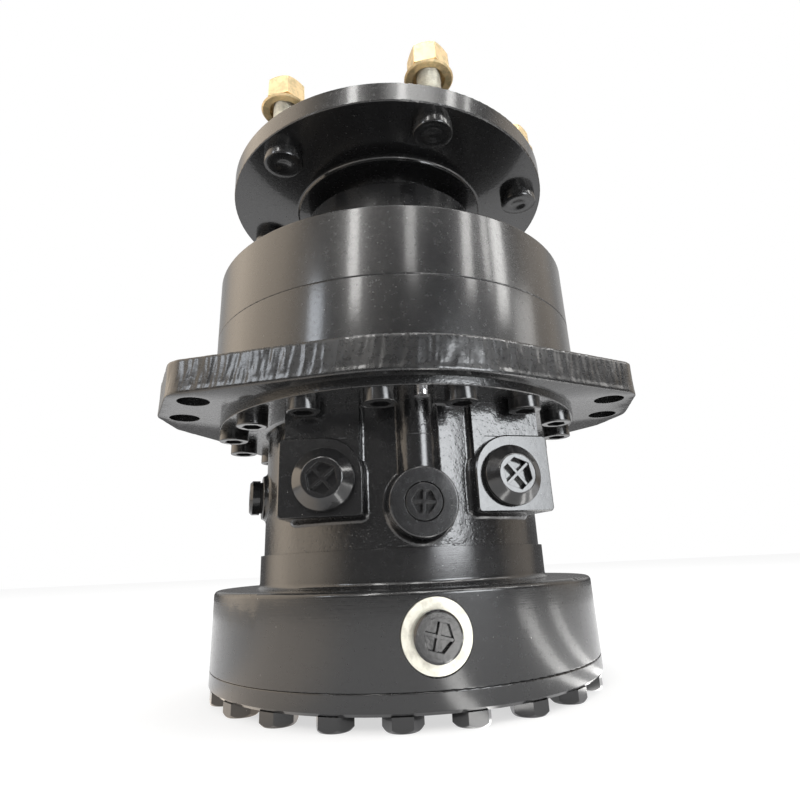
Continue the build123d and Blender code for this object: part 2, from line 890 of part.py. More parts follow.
def side_plug():
    """Round-headed plug on the housing's side."""
    low = plug_seal_thick
    top = low + side_plug_head_thick
    head = chamfer(disc(side_plug_head_r, low, top).edges().group_by(Axis.Z)[-1], 1.5)
    shank = disc(boss_plug_thread_r, 1 - boss_plug_length, low)
    return head - ribbed_socket(side_plug_socket, top, plug_socket_depth, 30) + shank


def port_place(side):
    """Plane of an oil port's mouth."""
    return around(pad_distance, side * pad_turn, port_plug_height) * Pos(side * port_plug_side, 0, 0)


def side_place(side):
    """Plane of a side plug's mouth."""
    return around(side_boss_distance, side * side_boss_azimuth, port_plug_height)


# Distributor


def channel_heights():
    """Middle heights of the two oil channels round the distributor."""
    return [port_plug_height + channel_spacing / 2, port_plug_height - channel_spacing / 2]


def ring_heights():
    """Middle heights of the distributor's three seal rings."""
    upper, lower = channel_heights()
    return [upper + channel_side, port_plug_height, lower - channel_side]


def distributor():
    """Fixed oil distributor pressed against the cylinder block."""
    head_low = distributor_top - distributor_head_length
    body = turned(
        [
            (distributor_bore_r, distributor_top),
            (distributor_head_r, distributor_top),
            (distributor_head_r, head_low),
            (distributor_r, head_low),
            (distributor_r, distributor_low),
            (distributor_bore_r, distributor_low),
        ]
    )
    for height in channel_heights():
        half = channel_width / 2
        body -= ring(distributor_r + 1, distributor_r - channel_depth, height - half, height + half)
    for height in ring_heights():
        half = ring_groove_width / 2 + press_gap
        body -= ring(distributor_r + 1, distributor_r - ring_groove_depth, height - half, height + half)
    count = 2 * lobe_count
    depth = distributor_head_length * 2
    body -= round_pins(
        spots(count, feed_circle_r, 360 / count / 2), feed_hole_r, distributor_top - depth, distributor_top + 1
    )
    return body - lock_pin_hole()


def distributor_rings():
    """Seal rings between the distributor and the port housing."""
    half = ring_groove_width / 2
    inner = distributor_r - ring_groove_depth + press_gap
    return [ring(distributor_r, inner, height - half, height + half) for height in ring_heights()]


def lock_pin_hole():
    """Room for the pin that keeps the distributor from turning."""
    half = lock_pin_length / 2 + press_gap
    place = spots(1, lock_pin_circle_r, 180.0)[0]
    return place * disc(lock_pin_r + press_gap, distributor_low - half, distributor_low + half)


def lock_pin():
    """Pin between the distributor and the port housing."""
    half = lock_pin_length / 2
    place = spots(1, lock_pin_circle_r, 180.0)[0]
    return place * disc(lock_pin_r, distributor_low - half, distributor_low + half)


def distributor_spring():
    """Cone-shaped spring washer that presses the distributor up."""
    inner = distributor_bore_r + 4
    outer = lock_pin_circle_r - lock_pin_r - 2
    return turned(
        [
            (inner, distributor_low),
            (inner, distributor_low - distributor_spring_thick),
            (outer, cavity_low),
            (outer, cavity_low + distributor_spring_thick),
        ]
    )


# Brake


def brake_shaft():
    """Shaft from the output shaft's end down to the keyed brake hub."""
    hub_top = port_low - loose_gap
    body = disc(brake_shaft_r, hub_top, block_low + brake_shaft_grip)
    return body + splined(brake_hub_r, brake_key_r, brake_key_width, brake_key_count, pack_low, hub_top)


def brake_shaft_seal():
    """Lip seal round the brake shaft in the port housing's lower face."""
    return ring(shaft_seal_r - press_gap, brake_shaft_r + running_gap, port_low, port_low + shaft_seal_thick)


def disc_low(number):
    """Lower face of a friction disc, counted from the top of the pack."""
    return pack_top - (2 * number + 2) * disc_thick - (2 * number + 1) * pack_gap


def friction_discs():
    """Discs that turn with the brake hub."""
    hub = keyed_face(brake_hub_r, brake_key_r, brake_key_width, brake_key_count, loose_gap)
    face = Circle(disc_outer_r) - hub
    return [Pos(0, 0, disc_low(k)) * extrude(face, disc_thick) for k in range(disc_count)]


def lugged_face(radius, reach, width, gap=0.0):
    """Round face with the outer lugs of the steel plates."""
    face = Circle(radius + gap)
    lug = Rectangle(radius + reach + gap, width + 2 * gap, align=(Align.MIN, Align.CENTER))
    for k in range(lug_count):
        face += Rot(0, 0, k * 360 / lug_count) * lug
    return face


def steel_plates():
    """Plates held by the brake housing, one above and one below every friction disc."""
    face = lugged_face(steel_outer_r, lug_reach, lug_width) - Circle(steel_inner_r)
    pitch = 2 * (disc_thick + pack_gap)
    top_plate = Pos(0, 0, pack_top - disc_thick) * extrude(face, disc_thick)
    return [Pos(0, 0, -k * pitch) * top_plate for k in range(disc_count + 1)]


def brake_housing():
    """Collar and drum that hold the brake pack, the piston and the spring."""
    body = turned(
        [
            (pack_bore_r, port_low),
            (collar_r, port_low),
            (collar_r, brake_top),
            (brake_r, brake_top),
            (brake_r, cover_top),
            (brake_piston_r, cover_top),
            (brake_piston_r, brake_shoulder),
            (pack_bore_r, brake_shoulder),
        ],
        rounds=[(2, 3.0), (3, brake_edge_round), (4, rim_round)],
    )
    slots = lugged_face(steel_outer_r, lug_reach, lug_width, loose_gap)
    body -= Pos(0, 0, pack_low) * extrude(slots, pack_height + 1)
    body -= round_pins(
        spots(cover_bolt_count, cover_bolt_circle_r, cover_bolt_phase), cover_bolt_r + press_gap,
        cover_top - 1, cover_top + cover_bolt_grip + 1,
    )
    inner = spots(inner_screw_count, inner_screw_circle_r, inner_screw_phase)
    body -= round_pins(inner, inner_screw_r + screw_hole_slack, brake_shoulder - 1, port_low + 1)
    seat = brake_shoulder + inner_screw_head_height
    body -= round_pins(inner, inner_screw_head_r + screw_hole_slack, brake_shoulder - 1, seat)
    body -= brake_port_place * disc(brake_port_face_r, 0, brake_r)
    body -= brake_port_place * disc(brake_plug_thread_r + press_gap, -brake_plug_thread_length, 1)
    passage = around(brake_port_face - 1, 0, brake_shoulder - brake_chamber_height / 2)
    return body - passage * disc(brake_passage_r, brake_piston_r - brake_port_face - 5, 0)


def inner_screws():
    """Screws inside the brake housing that hold it to the port housing."""
    seat = brake_shoulder + inner_screw_head_height
    length = port_low + inner_screw_grip - seat
    screw = cap_screw(
        inner_screw_head_r, inner_screw_head_height, inner_screw_r, seat, length, inner_screw_socket
    )
    return [place * screw for place in spots(inner_screw_count, inner_screw_circle_r, inner_screw_phase)]


def brake_piston():
    """Ring piston: oil pushes it down against the spring and frees the pack."""
    return turned(
        [
            (brake_piston_inner_r, piston_nose_top),
            (pack_bore_r - running_gap, piston_nose_top),
            (pack_bore_r - running_gap, piston_shoulder),
            (brake_piston_r - running_gap, piston_shoulder),
            (brake_piston_r - running_gap, brake_piston_low),
            (brake_piston_inner_r, brake_piston_low),
        ]
    )


def brake_spring():
    """Disc spring between the brake cover and the piston."""
    return turned(
        [
            (disc_spring_inner_r, brake_piston_low - running_gap),
            (disc_spring_inner_r, brake_piston_low - disc_spring_thick),
            (disc_spring_outer_r, cover_top),
            (disc_spring_outer_r, cover_top + disc_spring_thick),
        ]
    )


def brake_cover():
    """Flat cover under the brake drum."""
    body = disc(brake_r, cover_low, cover_top)
    body = chamfer(body.edges().group_by(Axis.Z)[0], cover_edge_chamfer)
    body = fillet(body.edges().group_by(Axis.Z)[-1], rim_round)
    body -= round_pins(
        spots(cover_bolt_count, cover_bolt_circle_r, cover_bolt_phase), cover_bolt_r + screw_hole_slack,
        cover_low - 1, cover_top + 1,
    )
    return body - seal_groove(cover_seal_r, cover_top, -1)


def cover_bolts():
    """Hexagon bolts under the brake cover, on whose heads the motor stands."""
    head = crowned_hexagon(cover_bolt_across_flats, cover_bolt_head_height, cover_bolt_bevel)
    shank = disc(cover_bolt_r, cover_low, cover_top + cover_bolt_grip)
    bolt = Pos(0, 0, cover_low) * Rot(180, 0, 0) * head + shank
    first = Rot(0, 0, cover_bolt_phase) * Pos(0, -cover_bolt_circle_r, 0) * bolt
    return [Rot(0, 0, k * 360 / cover_bolt_count) * first for k in range(cover_bolt_count)]


def layer_screws():
    """Screws under the port flange that clamp all the drum's layers together."""
    length = cam_top + layer_screw_grip - port_flange_low
    screw = cap_screw(
        layer_screw_head_r, layer_screw_head_height, layer_screw_r, port_flange_low, length, layer_screw_socket
    )
    places = spots(layer_screw_count, layer_screw_circle_r, layer_screw_phase)
    return [place * screw for place in places]


def dowel_pins():
    """Two pins that keep the layers in line."""
    places = spots(2, layer_screw_circle_r, dowel_azimuth)
    return round_pins(places, dowel_r, port_flange_low + 2, cam_top + dowel_grip)


def brake_plug():
    """Plug of the brake port, on its washer."""
    low = brake_washer_thick
    top = low + brake_plug_head_thick
    head = chamfer(disc(brake_plug_head_r, low, top).edges().group_by(Axis.Z)[-1], 1.0)
    shank = disc(brake_plug_thread_r, 1 - brake_plug_thread_length, low)
    return head - ribbed_socket(brake_plug_socket, top, brake_plug_socket_depth, -15) + shank


upper_bearing = TaperBearing(upper_seat_r, upper_cup_r, upper_bearing_low, upper_roller_r, 1)
lower_bearing = TaperBearing(lower_seat_r, lower_cup_r, lower_bearing_low, lower_roller_r, -1)
brake_port_place = around(brake_port_face, 0, brake_port_height)
boss_place = around(boss_distance, 0, boss_height)
port_seal = plug_seal(port_plug_head_r - 1, port_plug_thread_r, plug_seal_thick)
side_seal = plug_seal(side_plug_head_r - 1, boss_plug_thread_r, plug_seal_thick)

# Turning side
save("output_shaft", output_shaft())
save("wheel_studs", at_studs(wheel_stud()))
save("wheel_nuts", at_studs(wheel_nut()))
save("upper_bearing_cone", upper_bearing.inner_ring())
save("lower_bearing_cone", lower_bearing.inner_ring())
save("bearing_nut", bearing_nut())
save("cylinder_block", cylinder_block())
save("brake_shaft", brake_shaft())
save("brake_friction_discs", friction_discs())
for number in range(piston_count):
    save(f"piston_{number + 1}", in_bore(piston(), number))
    save(f"cam_roller_{number + 1}", in_bore(cam_roller(), number))

# Bearing rollers and cages
save("upper_bearing_rollers", upper_bearing.rollers())
save("upper_bearing_cage", upper_bearing.cage())
save("lower_bearing_rollers", lower_bearing.rollers())
save("lower_bearing_cage", lower_bearing.cage())

# Fixed side
save("upper_bearing_cup", upper_bearing.outer_ring())
save("lower_bearing_cup", lower_bearing.outer_ring())
save("shaft_seal", shaft_seal())
save("bearing_housing", bearing_housing())
save("cam_ring", cam_ring())
save("mounting_plate", mounting_plate())
save("port_housing", port_housing())
save("layer_screws", layer_screws())
save("dowel_pins", dowel_pins())
save("joint_seals", joint_seals())
save("port_plug_left", port_place(-1) * domed_plug())
save("port_plug_right", port_place(1) * domed_plug())
save("side_plug_left", side_place(-1) * side_plug())
save("side_plug_right", side_place(1) * side_plug())
save("plug_seals", [port_place(s) * port_seal for s in (-1, 1)] + [side_place(s) * side_seal for s in (-1, 1)])
save("boss_plug", boss_place * boss_plug())
save("distributor", distributor())
save("distributor_rings", distributor_rings())
save("distributor_spring", distributor_spring())
save("distributor_pin", lock_pin())
save("brake_housing", brake_housing())
save("brake_housing_screws", inner_screws())
save("brake_shaft_seal", brake_shaft_seal())
save("brake_steel_plates", steel_plates())
save("brake_piston", brake_piston())
save("brake_spring", brake_spring())
save("brake_cover", brake_cover())
save("brake_cover_bolts", cover_bolts())
save("brake_port_plug", brake_port_place * brake_plug())
brake_washer = plug_seal(brake_washer_r, brake_plug_thread_r, brake_washer_thick)
save("brake_port_washer", brake_port_place * brake_washer)
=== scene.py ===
"""Looks of the hydraulic drive motor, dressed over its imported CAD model."""

import logging
import math
from dataclasses import dataclass, field
from enum import Enum

import bmesh
import bpy
from mathutils import Matrix, Vector, noise


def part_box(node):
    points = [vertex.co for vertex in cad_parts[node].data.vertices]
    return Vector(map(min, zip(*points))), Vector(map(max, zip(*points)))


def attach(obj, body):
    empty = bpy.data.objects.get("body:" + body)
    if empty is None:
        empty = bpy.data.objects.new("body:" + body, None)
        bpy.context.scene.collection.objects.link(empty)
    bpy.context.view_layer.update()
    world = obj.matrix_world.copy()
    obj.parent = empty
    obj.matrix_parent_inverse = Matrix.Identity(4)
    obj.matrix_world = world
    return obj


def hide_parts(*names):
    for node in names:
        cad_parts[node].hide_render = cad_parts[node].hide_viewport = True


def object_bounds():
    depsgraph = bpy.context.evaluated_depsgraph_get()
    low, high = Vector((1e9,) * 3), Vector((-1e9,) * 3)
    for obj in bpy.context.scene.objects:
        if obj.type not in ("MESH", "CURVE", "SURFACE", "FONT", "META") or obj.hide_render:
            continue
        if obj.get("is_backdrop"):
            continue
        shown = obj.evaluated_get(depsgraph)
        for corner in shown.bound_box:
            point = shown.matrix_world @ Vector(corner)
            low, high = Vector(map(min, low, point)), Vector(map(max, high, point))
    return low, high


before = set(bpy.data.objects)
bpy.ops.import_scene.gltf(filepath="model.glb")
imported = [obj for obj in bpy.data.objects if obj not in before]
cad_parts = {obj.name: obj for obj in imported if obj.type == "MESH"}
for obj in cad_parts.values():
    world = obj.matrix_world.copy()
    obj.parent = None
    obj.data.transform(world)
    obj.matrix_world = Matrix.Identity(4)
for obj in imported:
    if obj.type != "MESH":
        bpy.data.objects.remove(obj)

MM = 0.001
PICTURE_SIDE = 800.0
log = logging.getLogger("drive motor")

Colour = tuple[float, float, float]
Socket = bpy.types.NodeSocket


class Surface(Enum):
    """How a painted surface was made before it was painted."""

    SMOOTH = "smooth"
    TURNED = "turned"
    CAST = "cast"
    ROLLED = "rolled"


class MaterialTree:
    """Node tree of one material, with short ways to add the nodes that a finish needs."""

    def __init__(self, name: str) -> None:
        """Start a material that reads Object coordinates.

        Args:
            name: name of the material.
        """
        self.material = bpy.data.materials.new(name)
        self.material.use_nodes = True
        self.tree = self.material.node_tree
        self.shader = self.tree.nodes["Principled BSDF"]
        self.place = self.tree.nodes.new("ShaderNodeTexCoord").outputs["Object"]

    def add(self, kind: str, **settings: object) -> bpy.types.Node:
        """Add a node.

        Args:
            kind: the node's type.
            settings: properties to set on it.

        Returns:
            The new node.
        """
        node = self.tree.nodes.new(kind)
        for key, value in settings.items():
            setattr(node, key, value)
        return node

    def link(self, source: Socket, target: Socket) -> None:
        """Join two sockets."""
        self.tree.links.new(source, target)

    def fill(self, socket: Socket, value: "Socket | float | Colour") -> None:
        """Give a socket a link or a plain value.

        Args:
            socket: the input to fill.
            value: another node's output, a number or a colour.
        """
        if isinstance(value, bpy.types.NodeSocket):
            self.link(value, socket)
        elif isinstance(value, tuple) and socket.type == "RGBA":
            socket.default_value = (*value, 1.0)
        else:
            socket.default_value = value

    def math(self, operation: str, *values: "Socket | float", clamp: bool = False) -> Socket:
        """Add a Math node.

        Args:
            operation: the node's operation.
            values: its inputs in order.
            clamp: keep the result within 0 and 1.

        Returns:
            The node's output.
        """
        node = self.add("ShaderNodeMath", operation=operation, use_clamp=clamp)
        for socket, value in zip(node.inputs, values):
            self.fill(socket, value)
        return node.outputs[0]

    def spread(self, value: Socket, low: float, high: float, to_low: float, to_high: float) -> Socket:
        """Map a value smoothly from one range to another.

        Args:
            value: the value to map.
            low: start of its range.
            high: end of its range.
            to_low: result at the start.
            to_high: result at the end.

        Returns:
            The mapped value.
        """
        node = self.add("ShaderNodeMapRange", interpolation_type="SMOOTHSTEP")
        for socket, number in zip(node.inputs, (value, low, high, to_low, to_high)):
            self.fill(socket, number)
        return node.outputs["Result"]

    def stretched(self, scale: tuple[float, float, float]) -> Socket:
        """Object coordinates with each axis scaled by its own amount."""
        node = self.add("ShaderNodeMapping")
        node.inputs["Scale"].default_value = scale
        self.link(self.place, node.inputs["Vector"])
        return node.outputs["Vector"]

    def noise(
        self, grain: float, detail: float = 2.0, rough: float = 0.5, place: Socket | None = None
    ) -> Socket:
        """Add a noise pattern.

        Args:
            grain: size of its largest spots in metres.
            detail: number of finer layers.
            rough: strength of the finer layers.
            place: coordinates to read, Object coordinates when left out.

        Returns:
            A value around 0.5.
        """
        node = self.add("ShaderNodeTexNoise")
        node.inputs["Scale"].default_value = 1.0 / grain
        node.inputs["Detail"].default_value = detail
        node.inputs["Roughness"].default_value = rough
        self.link(place or self.place, node.inputs["Vector"])
        return node.outputs["Fac"]

    def cells(self, grain: float, feature: str = "F1") -> Socket:
        """Distance to the points of a cell pattern whose cells are about grain metres across."""
        node = self.add("ShaderNodeTexVoronoi", feature=feature)
        node.inputs["Scale"].default_value = 1.0 / grain
        self.link(self.place, node.inputs["Vector"])
        return node.outputs["Distance"]

    def blend(self, factor: "Socket | float", first: "Socket | Colour", second: "Socket | Colour") -> Socket:
        """Mix two colours.

        Args:
            factor: share of the second colour.
            first: one colour.
            second: the other colour.

        Returns:
            The mixed colour.
        """
        node = self.add("ShaderNodeMix", data_type="RGBA")
        self.fill(node.inputs["Factor"], factor)
        self.fill(node.inputs[6], first)
        self.fill(node.inputs[7], second)
        return node.outputs[2]

    def bump(self, height: Socket, depth: float, under: Socket | None = None) -> Socket:
        """Turn a height pattern into normals.

        Args:
            height: pattern from 0 to 1.
            depth: real depth of the pattern in metres.
            under: normals that it lies on.

        Returns:
            The new normals.
        """
        node = self.add("ShaderNodeBump")
        node.inputs["Distance"].default_value = depth
        self.link(height, node.inputs["Height"])
        if under is not None:
            self.link(under, node.inputs["Normal"])
        return node.outputs["Normal"]

    def uneven(self, pattern: Socket, low: float, high: float, smoothest: float, roughest: float) -> None:
        """Let the roughness follow a pattern.

        Args:
            pattern: the pattern.
            low: its value at the smoothest spots.
            high: its value at the roughest spots.
            smoothest: lowest roughness.
            roughest: highest roughness.
        """
        self.fill(self.shader.inputs["Roughness"], self.spread(pattern, low, high, smoothest, roughest))

    def toned(self, pattern: Socket, low: float, high: float, first: Colour, second: Colour) -> None:
        """Let the colour run softly from one to another along a pattern.

        Args:
            pattern: the pattern.
            low: its value at the first colour.
            high: its value at the second colour.
            first: one colour.
            second: the other colour.
        """
        share = self.spread(pattern, low, high, 0, 1)
        self.fill(self.shader.inputs["Base Color"], self.blend(share, first, second))

    def softened(self, radius: float) -> Socket:
        """Normals that run smoothly round edges of this radius in metres."""
        node = self.add("ShaderNodeBevel", samples=4)
        node.inputs["Radius"].default_value = radius
        return node.outputs["Normal"]

    def azimuth(self) -> Socket:
        """Angle about the shaft axis in degrees, 0 on the port side and growing towards +X."""
        parts = self.add("ShaderNodeSeparateXYZ")
        self.link(self.place, parts.inputs[0])
        back = self.math("MULTIPLY", parts.outputs["Y"], -1.0)
        return self.math("DEGREES", self.math("ARCTAN2", parts.outputs["X"], back))

    def height(self) -> Socket:
        """Height in metres."""
        parts = self.add("ShaderNodeSeparateXYZ")
        self.link(self.place, parts.inputs[0])
        return parts.outputs["Z"]

    def reach(self) -> Socket:
        """Distance from the shaft axis in metres."""
        flat = self.add("ShaderNodeVectorMath", operation="LENGTH")
        self.link(self.stretched((1, 1, 0)), flat.inputs[0])
        return flat.outputs["Value"]


@dataclass(frozen=True)
class GlossPaint:
    """Thick black enamel over steel or iron."""

    name: str
    surface: Surface = Surface.SMOOTH
    colour: Colour = (0.0145, 0.0147, 0.0155)
    dust: Colour = (0.26, 0.26, 0.25)
    roughness: float = 0.22
    wave_size: float = 2.4 * MM
    wave_depth: float = 0.014 * MM
    grain_size: float = 0.7 * MM
    grain_depth: float = 0.0045 * MM
    speck_size: float = 5.5 * MM
    edge_radius: float = 0.35 * MM
    face_top: float | None = None
    face_reach: float = 94 * MM
    face_share: float = 0.88

    def material(self) -> bpy.types.Material:
        """Build the paint.

        Returns:
            The finished material.
        """
        sheet = MaterialTree(self.name)
        shader = sheet.shader
        specks = sheet.spread(sheet.cells(self.speck_size), 0.03, 0.075, 1, 0)
        specks = sheet.math("MULTIPLY", specks, sheet.spread(sheet.noise(30 * MM, 2.0), 0.46, 0.6, 0, 0.8))
        sheet.fill(shader.inputs["Base Color"], sheet.blend(specks, self.colour, self.dust))
        fine = sheet.noise(2.5 * MM, 2.0)
        sheet.uneven(fine, 0.3, 0.75, self.roughness, self.roughness + 0.06)
        shader.inputs["Coat Weight"].default_value = 0.6
        shader.inputs["Coat Roughness"].default_value = 0.07
        shader.inputs["Coat IOR"].default_value = 1.5
        normal = sheet.softened(self.edge_radius)
        normal = self.ground(sheet, normal)
        normal = sheet.bump(sheet.noise(self.wave_size, 1.0, 0.4), self.wave_depth, normal)
        normal = sheet.bump(sheet.noise(self.grain_size, 1.5, 0.5), self.grain_depth, normal)
        sheet.link(normal, shader.inputs["Normal"])
        sheet.link(normal, shader.inputs["Coat Normal"])
        return sheet.material

    def ground(self, sheet: MaterialTree, normal: Socket) -> Socket:
        """Add what shows through the paint from the surface under it.

        Args:
            sheet: the material being built.
            normal: normals so far.

        Returns:
            Normals with the surface's own pattern.
        """
        if self.surface is Surface.TURNED:
            lines = sheet.noise(0.55 * MM, 2.0, 0.6, sheet.stretched((0.02, 0.02, 1.0)))
            normal = sheet.bump(lines, 0.010 * MM, normal)
            runs = sheet.noise(9 * MM, 2.0, 0.5, sheet.stretched((1.0, 1.0, 0.25)))
            return sheet.bump(runs, 0.05 * MM, normal)
        if self.surface is Surface.CAST:
            share = self.cast_share(sheet)
            lumps = sheet.math("MULTIPLY", sheet.noise(4.5 * MM, 3.0, 0.55), share)
            normal = sheet.bump(lumps, 0.2 * MM, normal)
            pits = sheet.math("MULTIPLY", sheet.spread(sheet.cells(1.7 * MM), 0.05, 0.45, 0, 1), share)
            return sheet.bump(pits, 0.045 * MM, normal)
        if self.surface is Surface.ROLLED:
            scale = sheet.noise(2.4 * MM, 3.0, 0.6)
            return sheet.bump(scale, 0.05 * MM, normal)
        return normal


    def cast_share(self, sheet: MaterialTree) -> "Socket | float":
        """Where the cast skin shows: everywhere but on the machined faces.

        Args:
            sheet: the material being built.

        Returns:
            1 on the cast skin and nearly 0 on the machined faces.
        """
        if self.face_top is None:
            return 1.0
        below = sheet.spread(sheet.height(), self.face_top - 0.4 * MM, self.face_top + 0.4 * MM, 1, 0)
        outside = sheet.spread(sheet.reach(), self.face_reach - 0.5 * MM, self.face_reach + 0.5 * MM, 0, 1)
        machined = sheet.math("MULTIPLY", below, outside)
        return sheet.math("SUBTRACT", 1.0, sheet.math("MULTIPLY", machined, self.face_share))


@dataclass(frozen=True)
class ZincPlate:
    """Zinc plating with a passivated tint, drawn in soft patches."""

    name: str
    colour: Colour
    stain: Colour
    roughness: float = 0.36
    stain_size: float = 5 * MM
    edge_radius: float = 0.3 * MM

    def material(self) -> bpy.types.Material:
        """Build the plating.

        Returns:
            The finished material.
        """
        sheet = MaterialTree(self.name)
        shader = sheet.shader
        shader.inputs["Metallic"].default_value = 0.55
        sheet.toned(sheet.noise(self.stain_size, 4.0, 0.6), 0.4, 0.68, self.colour, self.stain)
        wear = sheet.noise(1.2 * MM, 3.0, 0.6)
        sheet.uneven(wear, 0.3, 0.7, self.roughness - 0.08, self.roughness + 0.16)
        normal = sheet.softened(self.edge_radius)
        sheet.link(sheet.bump(wear, 0.008 * MM, normal), shader.inputs["Normal"])
        return sheet.material


@dataclass(frozen=True)
class BareMetal:
    """Machined or pressed steel and iron inside the motor."""

    name: str
    colour: Colour
    roughness: float
    metallic: float = 1.0
    line_depth: float = 0.004 * MM

    def material(self) -> bpy.types.Material:
        """Build the metal.

        Returns:
            The finished material.
        """
        sheet = MaterialTree(self.name)
        shader = sheet.shader
        shader.inputs["Metallic"].default_value = self.metallic
        darker = tuple(0.7 * part for part in self.colour)
        sheet.toned(sheet.noise(12 * MM, 3.0), 0.35, 0.7, self.colour, darker)
        lines = sheet.noise(0.4 * MM, 2.0, 0.6, sheet.stretched((0.05, 0.05, 1.0)))
        sheet.uneven(lines, 0.2, 0.8, self.roughness, self.roughness + 0.12)
        sheet.link(sheet.bump(lines, self.line_depth), shader.inputs["Normal"])
        return sheet.material


@dataclass(frozen=True)
class Elastomer:
    """Rubber, plastic or lining: not metallic, softly uneven."""

    name: str
    colour: Colour
    roughness: float
    grain_size: float = 0.8 * MM

    def material(self) -> bpy.types.Material:
        """Build the elastomer.

        Returns:
            The finished material.
        """
        sheet = MaterialTree(self.name)
        lighter = tuple(min(1.0, 1.35 * part) for part in self.colour)
        sheet.toned(sheet.noise(4 * MM, 3.0), 0.35, 0.7, self.colour, lighter)
        grain = sheet.noise(self.grain_size, 2.0)
        sheet.uneven(grain, 0.3, 0.7, self.roughness, self.roughness + 0.1)
        sheet.link(sheet.bump(grain, 0.01 * MM), sheet.shader.inputs["Normal"])
        return sheet.material


@dataclass
class Finishes:
    """All the finishes of the motor, and the CAD nodes that each one dresses."""

    drum: GlossPaint = GlossPaint("drum_paint")
    flange: GlossPaint = GlossPaint("wheel_flange_paint", wave_depth=0.018 * MM)
    plate: GlossPaint = GlossPaint("plate_paint", Surface.ROLLED, roughness=0.26)
    casting: GlossPaint = GlossPaint(
        "casting_paint", Surface.CAST, face_top=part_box("mounting_plate")[0].z - 24.5 * MM
    )
    brake: GlossPaint = GlossPaint("brake_drum_paint", Surface.TURNED)
    screws: GlossPaint = GlossPaint("screw_paint", grain_depth=0.006 * MM, roughness=0.2)
    plugs: GlossPaint = GlossPaint("plug_paint", Surface.ROLLED, roughness=0.2)
    nuts: ZincPlate = ZincPlate("yellow_zinc", (0.86, 0.66, 0.38), (0.6, 0.48, 0.27))
    studs: ZincPlate = ZincPlate("clear_zinc", (0.8, 0.78, 0.68), (0.6, 0.58, 0.5))
    steel: BareMetal = BareMetal("bearing_steel", (0.6, 0.6, 0.61), 0.18)
    pressed: BareMetal = BareMetal("pressed_steel", (0.5, 0.49, 0.47), 0.34)
    iron: BareMetal = BareMetal("grey_iron", (0.3, 0.3, 0.31), 0.42)
    lining: Elastomer = Elastomer("friction_lining", (0.12, 0.09, 0.06), 0.8)
    rubber: Elastomer = Elastomer("seal_rubber", (0.02, 0.02, 0.02), 0.55)
    plastic: Elastomer = Elastomer("seal_plastic", (0.3, 0.22, 0.15), 0.45)

    def nodes_of(self) -> dict[str, tuple[str, ...]]:
        """CAD nodes by the name of the finish that dresses them.

        Returns:
            Finish field name to CAD node names.
        """
        pistons = tuple(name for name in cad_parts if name.startswith(("piston_", "cam_roller_")))
        return {
            "drum": ("bearing_housing", "cam_ring"),
            "flange": ("output_shaft",),
            "plate": ("mounting_plate",),
            "casting": ("port_housing",),
            "brake": ("brake_housing", "brake_cover"),
            "screws": ("layer_screws", "brake_cover_bolts"),
            "plugs": ("port_plug_left", "port_plug_right", "side_plug_left", "side_plug_right", "boss_plug",
                      "brake_port_plug"),
            "nuts": ("wheel_nuts",),
            "studs": ("wheel_studs", "brake_port_washer"),
            "steel": ("upper_bearing_cup", "lower_bearing_cup", "upper_bearing_cone", "lower_bearing_cone",
                      "upper_bearing_rollers", "lower_bearing_rollers", "bearing_nut", "dowel_pins",
                      "distributor_pin", "brake_shaft", "brake_piston", *pistons),
            "pressed": ("upper_bearing_cage", "lower_bearing_cage", "distributor_spring", "brake_spring",
                        "brake_steel_plates", "brake_housing_screws"),
            "iron": ("cylinder_block", "distributor"),
            "lining": ("brake_friction_discs",),
            "rubber": ("joint_seals", "plug_seals", "shaft_seal", "brake_shaft_seal"),
            "plastic": ("distributor_rings",),
        }

    def dress(self) -> None:
        """Give every CAD node its finish."""
        for key, names in self.nodes_of().items():
            material = getattr(self, key).material()
            for name in names:
                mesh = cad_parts[name].data
                mesh.materials.clear()
                mesh.materials.append(material)
            log.info("%s dresses %d nodes", key, len(names))


@dataclass
class SmoothShading:
    """Joins a CAD node's loose triangles for shading and keeps its real edges crisp."""

    merge_distance: float = 0.002 * MM
    sharp_angle: float = math.radians(29)

    def group(self) -> bpy.types.NodeTree:
        """Build the shared node group.

        Returns:
            The geometry node group.
        """
        tree = bpy.data.node_groups.new("joined_shading", "GeometryNodeTree")
        for way in ("INPUT", "OUTPUT"):
            tree.interface.new_socket("Geometry", in_out=way, socket_type="NodeSocketGeometry")
        start = tree.nodes.new("NodeGroupInput")
        end = tree.nodes.new("NodeGroupOutput")
        merge = tree.nodes.new("GeometryNodeMergeByDistance")
        merge.inputs["Distance"].default_value = self.merge_distance
        faces = tree.nodes.new("GeometryNodeSetShadeSmooth")
        edges = tree.nodes.new("GeometryNodeSetShadeSmooth")
        edges.domain = "EDGE"
        edges.inputs["Shade Smooth"].default_value = False
        angle = tree.nodes.new("GeometryNodeInputMeshEdgeAngle")
        sharp = tree.nodes.new("FunctionNodeCompare")
        sharp.operation = "GREATER_THAN"
        sharp.inputs[1].default_value = self.sharp_angle
        tree.links.new(angle.outputs["Unsigned Angle"], sharp.inputs[0])
        tree.links.new(sharp.outputs[0], edges.inputs["Selection"])
        for source, target in ((start, merge), (merge, faces), (faces, edges), (edges, end)):
            tree.links.new(source.outputs[0], target.inputs["Geometry"])
        return tree

    def dress(self) -> None:
        """Add the shading modifiers to every CAD node."""
        group = self.group()
        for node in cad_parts.values():
            node.modifiers.new("joined_shading", "NODES").node_group = group
            node.modifiers.new("weighted_normals", "WEIGHTED_NORMAL").keep_sharp = True
        log.info("smooth shading on %d nodes", len(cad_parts))


